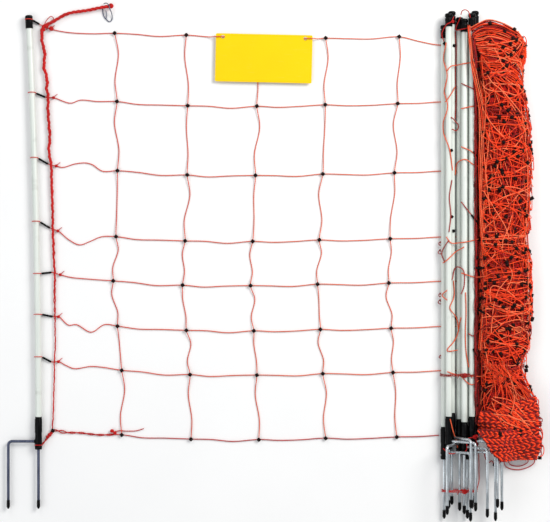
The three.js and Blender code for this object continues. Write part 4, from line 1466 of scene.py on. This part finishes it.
def sweep_over(start, end, bulge, lift, tone, part="across", bow=0.0):
    """A cord over the fold between two places given as (across, height)."""
    share = np.linspace(0, 1, 9)
    arch = np.sin(math.pi * share)
    across = start[0] + (end[0] - start[0]) * share + bulge * arch
    ys = start[1] + (end[1] - start[1]) * share + bow * arch + rng.normal(0, 0.0012, 9)
    return lay(on_net(np.clip(across, -1, 1), np.minimum(ys, HIGHEST_Y), lift), tone, part)


for k in range(SLACK_CORDS):
    x, y = rng.uniform(-0.7, 0.75), rng.uniform(0.14, 0.87)  # x is across, from -1 to 1
    reach_x, reach_y = rng.uniform(0.1, 0.8), rng.normal(0, 0.035)
    start, end = (x - reach_x, y - reach_y), (x + reach_x, y + reach_y)
    bulge, lift = rng.normal(0, 0.25), rng.uniform(0.001, 0.005)
    sweep_over(start, end, bulge, lift, pick_tone(MIXED), bow=rng.normal(0, 0.02))
print(SLACK_CORDS, "slack cords")

# %% [markdown]
# At the top the net is rolled over into a ball beside the post caps. Its cords leave
# the caps together and arch over to the right, one under the other, so one arc is drawn
# and then lowered and drawn in step by step. Two of three lie deeper and are given darker
# tones, painted shade, and the top ones take more of the pale tone, a painted highlight.
# Under the first arcs lies a copy in the shaded tone, which is more painted shade.

# %% Ball at the top
BALL_ARCS, SHADED_ARCS = 46, 18
BALL_DROP, BALL_SHRINK = 0.0024, 0.0006
UNDER = 0.0028
# under: darker tones, painted shade; over: more of the pale tone, painted highlight
UNDER_TONES, OVER_TONES = [0.3, 0.05, 0.35, 0.3], [0.6, 0.3, 0.1, 0.0]

for k in range(BALL_ARCS):
    drop = BALL_DROP * k + rng.normal(0, 0.0015)
    shrink = BALL_SHRINK * k
    arc = [
        (0.9130 + shrink, 0.8890 - 0.7 * drop, 0.0345), (0.9300 + shrink, 0.8990 - 0.9 * drop, 0.0385),
        (0.9500, 0.9040 - drop, 0.0440), (0.9760, 0.8990 - drop, 0.0475), (1.0020, 0.8870 - drop, 0.0440),
        (1.0170, 0.8740 - drop, 0.0340), (1.0270, 0.8540 - 1.05 * drop, 0.0220),
    ]
    under = k % 3 > 0
    arc = np.array(arc) + rng.normal(0, 0.0011, (7, 3)) - (0, 0, UNDER if under else 0)
    line = lay(arc, pick_tone(UNDER_TONES if under else OVER_TONES), "across")
    # a copy in the shaded tone under the arc: painted shade
    if k < SHADED_ARCS:
        lay(arc - (0, 0.001, 0.005), "shaded", "across")
    if k % 3 == 0:
        fold_knot(line[rng.integers(12, len(line) - 12)] + (0, 0, 0.001))
print(BALL_ARCS + SHADED_ARCS, "arcs in the ball")

# %% [markdown]
# Below its last waist the net spreads again like a fan, from a gathered place to the
# full width of the foot. At each waist a few turns of cord go straight across: they
# are what draws the net in.

# %% Fan and waists
FAN_CORDS, WAIST_TURNS = 30, 4
WAISTS = (0.789, 0.443, 0.176)

for k in range(FAN_CORDS):
    start = (rng.uniform(-0.75, 0.1), 0.185 + rng.normal(0, 0.006))
    end = (-0.7 + 1.65 * k / (FAN_CORDS - 1) + rng.normal(0, 0.04), rng.uniform(0.075, 0.12))
    sweep_over(start, end, 0.12, rng.uniform(0.003, 0.0075), pick_tone(MIXED), part="lengthways")
for waist in WAISTS:
    for k in range(WAIST_TURNS):
        y = waist + 0.0035 * (k - 1.5)
        end = (0.98, y + rng.normal(0, 0.006))
        sweep_over((-0.98, y), end, 0.0, 0.0035, pick_tone([0.4, 0.2, 0.3, 0.1]))
print(len(WAISTS), "waists")

# %% [markdown]
# At the foot the net lies over the bent rods of the spare posts, which stand up at all
# angles. A cord that lies on bumps is pulled taut between them. So a line is set at the
# height of whatever is under each of its points, then at the highest of its neighbours,
# and evened out: a cheap stand-in for a rope simulation, and one that never sinks in.

# %% Cords that drape
DRAPE_OVER = ROD / 2 + 0.0042


def taut(raw, reach):
    """Heights pulled up to the highest within reach and evened out."""
    high = [raw[max(i - reach, 0):i + reach + 1].max() for i in range(len(raw))]
    window = 2 * reach + 1
    evened = np.convolve(np.pad(high, reach, mode="edge"), np.ones(window) / window, "valid")
    return np.maximum(evened, raw)


def rod_top(x, y):
    """How high a cord lies on the bent rods of the spare posts at a place."""
    high = 0.0
    for (_, _, shift, turn), (xc, zc) in zip(SPARE_POSTS, spare_centres):
        reach = SPUR * math.cos(math.radians(turn))
        rise = SPUR * math.sin(math.radians(turn))
        share = (x - xc) / reach
        if y < STEP + shift + 0.02 and -0.12 < share < 1.12:
            high = max(high, zc + rise * min(max(share, 0.0), 1.0) + DRAPE_OVER)
    return high


def fold_top(x, y):
    """How high the folded net is at a place, or 0 beside it."""
    left, right, full = (float(v) for v in net_span(y))
    u = (2 * x - left - right) / (right - left)
    if abs(u) >= 1:
        return 0.0
    return middle_height(full) + (NET_HALF - TOP_INSET) * full * math.sqrt(1 - u * u)


def draped(points, lift):
    """A line over the fold and the bent rods, pulled taut from one to the next."""
    line = smooth(points, 0.003)
    raw = np.array([max(fold_top(x, y), rod_top(x, y), 0.004) for x, y, _ in line])
    line[:, 2] = taut(raw, 5) + lift
    return line


print("middle of the foot lies", round(max(fold_top(1.0, 0.03), rod_top(1.0, 0.03)), 3), "m up")

# %% [markdown]
# The foot of the heap is the net's lower hem, wound up tight: short cords twisted in
# pairs and packed side by side, which reads as a herringbone. Each pair is two cords
# wound round one draped line, one in a dark tone and one in a brighter tone. The dark
# tones, mostly the shaded one, are painted shade that darkens the foot of the heap.

# %% Hem at the foot
HEM_PAIRS, HEM_TOP, HEM_STEP = 50, 0.110, 0.0029
SHORT_PAIRS, SHORT_START = 8, 0.35
FOOT_LEFT = [
    (0.110, 0.9380), (0.0515, 0.9270), (0.0345, 0.9325), (0.0197, 0.9430), (0.0049, 0.9560),
    (-0.0120, 0.9690), (-0.0230, 0.9740),
]
# the shaded and dark tones first in each pair: painted shade at the foot
HEM_TONES = [("shaded", "dark"), ("shaded", "bright"), ("shaded", "deep"), ("dark", "bright")]
PAIR_SPREAD, PAIR_RADIUS = 0.0016, 0.0017


def foot_left_at(y):
    """The left edge of the foot at a height up the drawing."""
    left = np.array(FOOT_LEFT)[::-1]
    return float(np.interp(y, left[:, 0], left[:, 1]))


def twisted_pair(points, tones, pitch):
    """Two cords wound round each other, each in its own tone."""
    line = smooth(place(points), 0.0022)
    for tone, phase in zip(tones, (0, math.pi)):
        half = line + wound(line, pitch, phase) * PAIR_SPREAD
        half[:, 2] = np.maximum(half[:, 2], PAIR_RADIUS)
        folds[tone, "across"].sweep(half, PAIR_RADIUS, 6)


share = np.linspace(0, 1, 9)
for k in range(HEM_PAIRS):
    y = HEM_TOP - HEM_STEP * k
    low = foot_left_at(y)
    high = float(net_span(max(y, outline[0, 0]))[1]) - 0.002
    start = SHORT_START if k < SHORT_PAIRS else 0
    xs = low + (high - low) * (start + (1 - start) * share)
    lean = 0.010 + 0.007 * math.sin(0.4 * k)
    ys = y + lean * (share - 0.5) - 0.006 * np.sin(math.pi * share) + rng.normal(0, 0.0008, 9)
    ys = np.clip(ys, outline[0, 0] + 0.001, None)
    line = draped(np.stack([xs, ys, 0 * ys], 1), 0.0008 + 0.0018 * (k % 2))
    twisted_pair(line[::3], HEM_TONES[k % 4], rng.uniform(0.010, 0.017) * (1 if k % 5 else -1))
print(HEM_PAIRS, "pairs in the hem")

# %% [markdown]
# A few loose bright cords curve over the hem, knots of the lowest row are caught in it,
# and along the right edge the slack of every fold stands out in small curls. They break
# up the outline, which would otherwise be too clean for a heap of wire.

# %% Loose cords, knots and curls
LOOSE_CORDS, HEM_KNOTS, EDGE_CURLS = 14, 26, 52
HIGHEST_KNOT = 0.078

for k in range(LOOSE_CORDS):
    start = np.array([rng.uniform(0.945, 0.99), rng.uniform(0.075, 0.115)])
    end = np.array([rng.uniform(1.0, 1.05), rng.uniform(0.02, 0.085)])
    bend = (start + end) / 2 + (rng.normal(0, 0.006), rng.normal(0.004, 0.006))
    line = draped(np.array([(*start, 0), (*bend, 0), (*end, 0)]), 0.005)
    lay(line[::3], pick_tone([0.6, 0.4]), "across")
for k in range(HEM_KNOTS):
    x, y = rng.uniform(0.955, 1.055), rng.uniform(-0.012, 0.1)
    if x > foot_left_at(y) + 0.004:
        z = max(fold_top(x, y), rod_top(x, y)) + 0.004
        fold_knot(place([(x, y, min(z, HIGHEST_KNOT))])[0])
for k in range(EDGE_CURLS):
    y = rng.uniform(0.0, 0.862)
    edge_x = float(net_span(y)[1])
    wide, tall = rng.uniform(0.0012, 0.0055), rng.uniform(0.005, 0.017)
    turn = np.linspace(-0.6 * math.pi, 0.6 * math.pi, 7)
    points = np.stack([
        edge_x - 0.004 + (wide + 0.003) * np.cos(turn),
        y + tall * np.sin(turn) + rng.normal(0, 0.0008, 7),
        rng.uniform(0.006, 0.03) + 0.003 * np.sin(turn),
    ], 1)
    lay(points, pick_tone([0.7, 0.15, 0.1, 0.05]), "across", spacing=0.0018)
print(LOOSE_CORDS, "loose cords and", EDGE_CURLS, "curls")

# %% [markdown]
# Beside the last spare post lie cords that never see the light: they fill the valley
# between the posts and the heap with deep red. That deep red, from the shaded, dark and
# red tones, is the valley's painted shadow. Without them the floor would show through.
# Each follows the valley with a little sway, and climbs where a tube is under it.

# %% Valley cords
VALLEY_CORDS, VALLEY_LEFT, VALLEY_STEP = 34, 0.9225, 0.00062
# shaded, dark and deep tones only: the painted shadow of the valley
VALLEY_SHADOW_TONES = ("shaded", "dark", "shaded", "deep", "dark")
VALLEY_FLOOR = 0.012
TOWARDS_CAPS = {0.70: 0, 0.80: 0.004, 0.88: 0.009}


def post_top(x, reach):
    """How high a cord lies on the tubes of the bundle at x."""
    tops = [
        zc + math.sqrt(reach ** 2 - (x - xc) ** 2) for xc, zc in spare_centres if abs(x - xc) < reach
    ]
    return max(tops, default=0.0)


for k in range(VALLEY_CORDS):
    x = VALLEY_LEFT + VALLEY_STEP * k
    ys = np.arange(0.884 - rng.uniform(0, 0.02), 0.040 + rng.uniform(0, 0.03), -0.027)
    aside = np.interp(ys, list(TOWARDS_CAPS), list(TOWARDS_CAPS.values()))
    xs = np.maximum(x + rng.normal(0, 0.0019, len(ys)) - aside, VALLEY_LEFT - 0.001 - aside)
    tops = [max(post_top(px, CAP / 2 + STRAND / 2 + GAP), VALLEY_FLOOR) for px in xs]
    zs = [z + rng.uniform(0, 0.004) for z in tops]
    line = lay(np.stack([xs, ys, zs], 1), VALLEY_SHADOW_TONES[k % 5], "lengthways")
    if k % 2:
        fold_knot(line[rng.integers(9, len(line) - 9)] + (0, 0, 0.0012))
print(VALLEY_CORDS, "cords in the valley")

# %% [markdown]
# A few thin red ends and bights hang out of the foot and lie on the floor beyond it,
# two of them with a knot. Then everything laid on the heap is turned into objects, one
# for each tone and direction.

# %% Loose ends, and the fold's objects
LOOSE_END_RADIUS, LOOSE_END_STEP = 0.0011, 0.0018
LOOSE_END_KNOTS = [(0.9678, -0.0333, 0.0042), (1.0610, -0.0165, 0.0210)]
LOOSE_ENDS = [
    [(0.9445, 0.0049, 0.012), (0.9466, -0.0163, 0.008), (0.9551, -0.0290, 0.004), (0.9614, -0.0248, 0.003),
     (0.9678, -0.0333, 0.003), (0.9868, -0.0250, 0.002), (1.0050, -0.0150, 0.006)],
    [(0.9868, -0.0150, 0.008), (0.9911, -0.0370, 0.002), (1.0208, -0.0440, 0.0016),
     (1.0504, -0.0312, 0.002), (1.0526, -0.0120, 0.008)],
    [(0.9930, -0.0140, 0.008), (1.0010, -0.0330, 0.002), (1.0240, -0.0360, 0.0016),
     (1.0388, -0.0259, 0.004), (1.0300, -0.0150, 0.008)],
    [(0.9720, -0.0080, 0.010), (0.9760, -0.0250, 0.003), (0.9850, -0.0230, 0.003),
     (0.9900, -0.0080, 0.010)],
    [(1.0440, -0.0120, 0.020), (1.0530, -0.0175, 0.021), (1.0610, -0.0165, 0.020), (1.0640, -0.0040, 0.022),
     (1.0570, 0.0050, 0.026)],
]
for points in LOOSE_ENDS:
    lay(points, "deep", "across", LOOSE_END_RADIUS, LOOSE_END_STEP)
for centre in LOOSE_END_KNOTS:
    fold_knot(place([centre])[0])

for (tone, part), mesh in folds.items():
    if mesh.count:
        mesh.object(f"fold_{tone}_cords_{part}", TONES[tone], "net_cord")
fold_knots.object("fold_moulded_knots", knot_plastic, "black_plastic")
print(laid, "cords in all,", sum(mesh.count for mesh in folds.values()), "points")

# %% [markdown]
# The rows that were pulled out of the heap cross over the spare posts: thin cords with
# sleeves and knots of their own. They are drawn from above, as they are seen, and their
# heights come from the tubes, caps and feet under them, pulled taut as before.

# %% Row cords on the bundle
TIE_CORD = 0.0024
CAPS_FROM, FEET_TO = 0.885, 0.06
CROSSING_RADIUS = 0.0013


def over_bundle(x, y, radius):
    """How high a cord lies on the bundle: on tubes, caps and feet, or on the fold beside them."""
    thick = CAP if y > CAPS_FROM or y < FEET_TO else TUBE
    top = post_top(x, thick / 2 + radius + GAP)
    net = fold_top(x, y)
    return max(TIE_CORD / 2, top, net + 0.004 if net else 0.0)


def across_bundle(points, radius):
    """A line over the bundle through places given from above."""
    line = smooth(np.array([(x, y, 0) for x, y in points]), 0.0012)
    raw = np.array([over_bundle(x, y, radius) for x, y, _ in line])
    line[:, 2] = taut(raw, 4)
    return line + DATUM


CROSSING_CORDS = [
    [(0.8639, 0.7999), (0.8724, 0.8094), (0.8915, 0.8137), (0.9127, 0.8168), (0.9381, 0.8200)],
    [(0.8935, 0.7735), (0.9148, 0.7638), (0.9317, 0.7554)],
    [(0.8600, 0.7340), (0.8700, 0.7470), (0.8830, 0.7681)],
    [(0.8928, 0.7200), (0.9148, 0.7246), (0.9445, 0.7299), (0.9508, 0.7469), (0.9402, 0.7575)],
    [(0.8724, 0.7024), (0.8809, 0.6960), (0.8893, 0.6854), (0.8851, 0.6748), (0.8745, 0.6769)],
    [(0.8935, 0.6400), (0.9148, 0.6303), (0.9317, 0.6133)],
    [(0.8830, 0.5815), (0.8872, 0.6070), (0.9021, 0.6133), (0.9190, 0.6027), (0.9317, 0.5985)],
    [(0.8935, 0.5240), (0.9148, 0.4967), (0.9296, 0.4776)],
    [(0.8618, 0.4501), (0.8724, 0.4374), (0.8893, 0.4374), (0.9148, 0.4416), (0.9330, 0.4460)],
    [(0.8560, 0.3950), (0.8639, 0.4013), (0.8830, 0.4183), (0.8999, 0.4289)],
    [(0.8745, 0.3589), (0.8851, 0.3865), (0.8978, 0.3801), (0.9000, 0.3480), (0.8935, 0.3292)],
    [(0.8935, 0.3740), (0.9233, 0.3653), (0.9445, 0.3674)],
    [(0.8935, 0.2800), (0.8851, 0.2381), (0.8639, 0.2105), (0.8872, 0.2105)],
    [(0.9084, 0.2466), (0.9190, 0.2413), (0.9317, 0.2529), (0.9551, 0.2678)],
    [(0.8639, 0.1660), (0.8872, 0.1586), (0.9148, 0.1565), (0.9402, 0.1575), (0.9487, 0.1724)],
    [(0.8935, 0.1560), (0.9148, 0.1384), (0.9317, 0.1469)],
    [(0.8681, 0.4437), (0.8597, 0.4310), (0.8540, 0.4140), (0.8600, 0.3971)],
    [(0.8639, 0.3377), (0.8545, 0.3271), (0.8639, 0.3165)],
    [(0.8703, 0.0664), (0.8766, 0.0409), (0.8851, 0.0176), (0.8893, -0.0060)],
    [(0.8830, 0.8850), (0.8850, 0.8400), (0.8835, 0.7950), (0.8852, 0.7500), (0.8830, 0.7000)],
    [(0.8620, 0.8600), (0.8580, 0.8250), (0.8640, 0.7900), (0.8590, 0.7560), (0.8650, 0.7250),
     (0.8570, 0.6900), (0.8600, 0.6600), (0.8690, 0.6350), (0.8760, 0.5900)],
    [(0.9030, 0.3330), (0.9040, 0.2900), (0.9026, 0.2450), (0.9045, 0.2050), (0.9100, 0.1750)],
    [(0.8745, 0.5700), (0.8690, 0.5350), (0.8720, 0.4950), (0.8680, 0.4600)],
    [(0.8790, 0.3580), (0.8800, 0.3250), (0.8700, 0.3000), (0.8850, 0.2790), (0.8900, 0.2500)],
]
# every third cord takes the dark copy of the paint: painted shade
crossings = {"orange": (Mesh(), net_cord), "dark": (Mesh(), dark_cord)}
for number, points in enumerate(CROSSING_CORDS):
    mesh, _ = crossings["dark" if number % 3 == 1 else "orange"]
    mesh.sweep(across_bundle(points, CROSSING_RADIUS), CROSSING_RADIUS, **CORD_TWIST, phase=number)
for tone, (mesh, material) in crossings.items():
    mesh.object(f"{tone}_row_cords_over_spare_posts", material, "net_cord")
print(len(CROSSING_CORDS), "cords over the spare posts")

# %% [markdown]
# The same black sleeves and moulded knots that the open net has are seen here too, on
# the rows between the spare posts and the heap. They share one mesh.

# %% Sleeves and knots on the bundle
CROSSING_KNOT = 0.0072
CROSSING_SLEEVES = [
    [(0.9211, 0.7660), (0.9317, 0.7554)], [(0.9190, 0.6303), (0.9317, 0.6133)],
    [(0.9148, 0.4967), (0.9296, 0.4776)], [(0.9211, 0.3844), (0.9423, 0.3844)],
    [(0.9254, 0.2996), (0.9423, 0.2890)], [(0.9190, 0.2148), (0.9296, 0.1893)],
]
CROSSING_KNOTS = [
    (0.8597, 0.8592), (0.8809, 0.8550), (0.8734, 0.6324), (0.8745, 0.4925), (0.8798, 0.4628),
    (0.8851, 0.2784), (0.8893, 0.0010),
]
sleeves = Mesh()
for points in CROSSING_SLEEVES:
    line = across_bundle(points, SLEEVE / 2)
    radii = np.full(len(line), SLEEVE / 2)
    radii[[0, -1]] *= 0.75
    sleeves.sweep(line, radii, 12)
for number, (x, y) in enumerate(CROSSING_KNOTS):
    z = over_bundle(x, y, 0.0015)
    moulded_knot(sleeves, place([(x, y, z)])[0], CROSSING_KNOT, 0.6 * number)
sleeves.object("sleeves_and_knots_on_spare_posts", black_plastic, "black_plastic")
print(len(CROSSING_SLEEVES), "sleeves and", len(CROSSING_KNOTS), "knots")

# %% [markdown]
# Red cord is knotted round the caps and the feet to keep the posts together while the
# net is carried. Beside the first tube, cut ends of wire have sprung into small coils:
# each is a spiral that opens as it rises.

# %% Red cords and wire curls
RED_RADIUS, CURL_RADIUS = 0.0012, 0.0011
CURL_TURNS, CURL_POINTS = 1.3, 26
RED_KNOTS = [(0.9222, 0.0282, 0.0048), (0.9270, 0.0290, 0.0036), (0.8760, 0.9040, 0.0034)]
WIRE_CURLS = [
    (0.8515, 0.436, 0.0042), (0.8510, 0.418, 0.0050), (0.8515, 0.327, 0.0042),
    (0.8510, 0.312, 0.0050), (0.8520, 0.196, 0.0034),
]
RED_CORDS = [
    [(0.8787, 0.9143), (0.8723, 0.9027), (0.8629, 0.8974), (0.8544, 0.8804), (0.8586, 0.8635)],
    [(0.8925, 0.9143), (0.8844, 0.8878), (0.9031, 0.8889), (0.9127, 0.8916), (0.9240, 0.8930)],
    [(0.8930, 0.9180), (0.8960, 0.9262), (0.9021, 0.9283), (0.9084, 0.9250), (0.9130, 0.9120)],
    [(0.8560, 0.0040), (0.8681, -0.0060), (0.8872, -0.0058), (0.9042, 0.0005), (0.9063, 0.0240),
     (0.9222, 0.0282)],
    [(0.9222, 0.0282), (0.9300, 0.0060), (0.9330, -0.0227), (0.9330, -0.0439), (0.9330, -0.0651),
     (0.9280, -0.0850)],
]
red_crossing = Mesh()
for number, points in enumerate(RED_CORDS):
    red_crossing.sweep(across_bundle(points, RED_RADIUS), RED_RADIUS, **CORD_TWIST, phase=number)
for x, y, size in RED_KNOTS:
    knot(red_crossing, place([(x, y, over_bundle(x, y, 0.001) + 0.001)])[0], size)
red_crossing.object("red_cords_over_spare_posts", red_cord, "red_cord")
curls = Mesh()
for x, y, size in WIRE_CURLS:
    turn = np.linspace(0, CURL_TURNS * 2 * math.pi, CURL_POINTS)
    grow = size * np.linspace(0.5, 1, CURL_POINTS)
    rise = 0.006 + 0.0012 * turn / math.pi
    spiral = np.stack([x + grow * np.cos(turn), y + grow * np.sin(turn), rise], 1)
    curls.sweep(smooth(place(spiral), 0.001), CURL_RADIUS, 6, 2)
curls.object("wire_curls", dark_cord, "net_cord")
print(len(RED_CORDS), "red cords and", len(WIRE_CURLS), "wire curls")

# %% [markdown]
# Each tie goes right round the bundle: straight where it spans from post to post, curved
# where it bears on one. A circle or an oval would cut through the outer posts. So the
# loop is found from the post that stands out furthest in each direction, which is the
# path a tight string takes. It goes round twice and ends in a knot with two tails.

# %% Ties
TIES_AT = {"bundle_tie": (TUBE, 0.158, dark_cord), "spike_tie": (ROD, -0.087, red_cord)}
TIE_KNOT_SIZE = 0.0058
TIE_TAIL = [(0, 0, 0.003), (0.006, 0.004, 0.005), (0.012, 0.001, 0.003), (0.015, -0.006, 0.0006)]


def hull_loop(reach, y, steps=96):
    """A tight loop round all the spare posts, for things that stand out by reach from each."""
    loop_points = []
    for angle in circle(steps) + math.pi / 2:
        c, s = math.cos(angle), math.sin(angle)
        xc, zc = max(spare_centres, key=lambda centre: centre[0] * c + centre[1] * s)
        loop_points.append((xc + reach * c, y, zc + reach * s))
    return np.array(loop_points)


def even(points, step):
    """The closed loop stepped evenly, so that its twist is regular."""
    closed = np.vstack([points, points[:1]])
    run = run_along(closed)
    at = np.arange(0, run[-1], step)
    return np.stack([np.interp(at, run, closed[:, axis]) for axis in range(3)], 1)


for name, (tied, y, material) in TIES_AT.items():
    tie_mesh = Mesh()
    reach = tied / 2 + GAP + TIE_CORD / 2 + 0.0002
    for turn in (-0.6, 0.6):
        loop_line = even(hull_loop(reach, y + turn * TIE_CORD), 0.0013)
        loop_line[:, 1] += 0.0005 * np.sin(np.arange(len(loop_line)) * 0.12 + turn)
        tie_mesh.sweep(loop_line + DATUM, TIE_CORD / 2, **CORD_TWIST, close=True)
    peak = hull_loop(reach, y)[0]
    knot(tie_mesh, peak + DATUM + (0, 0, 0.003), TIE_KNOT_SIZE)
    for side in (-1, 1):
        tail = np.array([peak + (side * x, along, z) for x, along, z in TIE_TAIL])
        tie_mesh.sweep(smooth(tail + DATUM, 0.0012), 0.001, 8, 2)
    item = tie_mesh.object(name + "_cord", material, "red_cord")
    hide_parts(name)
    print(item.name, "is", round(float(run_along(loop_line)[-1]), 3), "m round")

# %% [markdown]
# The fence lies on a plain pale floor, which is there for its shadow. A pure white
# plane looks like nothing at all, so the floor is a matt near-white with a faint mottle.
# It is stage only and no part of the fence.

# %% Floor
FLOOR_DROP = 0.0004
FLOOR_HALF = 6


def floor_paint():
    p = Paint("pale_studio_floor", Specular_IOR_Level=0.2)
    mottle = p.step(p.noise(3.0, 5.0), 0.3, 0.75)
    grain = p.noise(420.0, 2.0)
    colour = p.blend(mottle * 0.5, (0.86, 0.86, 0.855, 1), (0.80, 0.80, 0.798, 1))
    return p.finish(colour, 0.72 - 0.06 * mottle, grain, 0.06, 0.0002)


floor_data = bpy.data.meshes.new("floor")
corners = [(x * FLOOR_HALF, y * FLOOR_HALF) for x, y in ((-1, -1), (1, -1), (1, 1), (-1, 1))]
floor_data.from_pydata([(x, y, cad_box[0][2] - FLOOR_DROP) for x, y in corners], [], [(0, 1, 2, 3)])
floor_data.materials.append(floor_paint())
floor = bpy.data.objects.new("floor", floor_data)
bpy.context.collection.objects.link(floor)
floor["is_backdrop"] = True
print("floor at", round(cad_box[0][2] - FLOOR_DROP, 4), "m")

# %% [markdown]
# Studio light is soft but not even: a large lamp high on one side models the cords, a
# wide cooler one opposite keeps the shadows open, a small one behind adds an edge, and
# an even surround does the rest. Standard view keeps the orange as bright as it is.

# %% Lamps and surround
WARM, COOL = (1.0, 0.985, 0.96), (0.96, 0.98, 1.0)
SKY, SKY_STRENGTH = (0.95, 0.97, 1.0, 1), 0.55


def lamp(name, place_at, size, watts, colour=(1, 1, 1)):
    data = bpy.data.lights.new(name, "AREA")
    data.shape, data.size, data.energy, data.color = "SQUARE", size, watts, colour
    item = bpy.data.objects.new(name, data)
    item.location = place_at
    item.rotation_euler = (-Vector(place_at)).to_track_quat("-Z", "Y").to_euler()
    bpy.context.collection.objects.link(item)


lamp("key_lamp", (1.9, 1.5, 2.3), size=1.5, watts=88, colour=WARM)
lamp("fill_lamp", (-2.1, -1.0, 2.4), size=2.2, watts=24, colour=COOL)
lamp("back_lamp", (-1.2, 2.4, 1.8), size=1.4, watts=14)

world = bpy.data.worlds.new("surround")
world.use_nodes = True
background = world.node_tree.nodes["Background"]
background.inputs["Color"].default_value = SKY
background.inputs["Strength"].default_value = SKY_STRENGTH
bpy.context.scene.world = world
bpy.context.scene.view_settings.view_transform = "Standard"

# %% [markdown]
# Last, the size of the whole visual model is set beside the size of the solids, to see
# that nothing was drawn outside them.

# %% Sizes
visual_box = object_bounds()
sizes = {
    "cad": [[float(c) for c in corner] for corner in cad_box],
    "visual": [[float(c) for c in corner] for corner in visual_box],
}
for name, (low, high) in sizes.items():
    print(name, [round(b - a, 4) for a, b in zip(low, high)])

# %% [markdown]
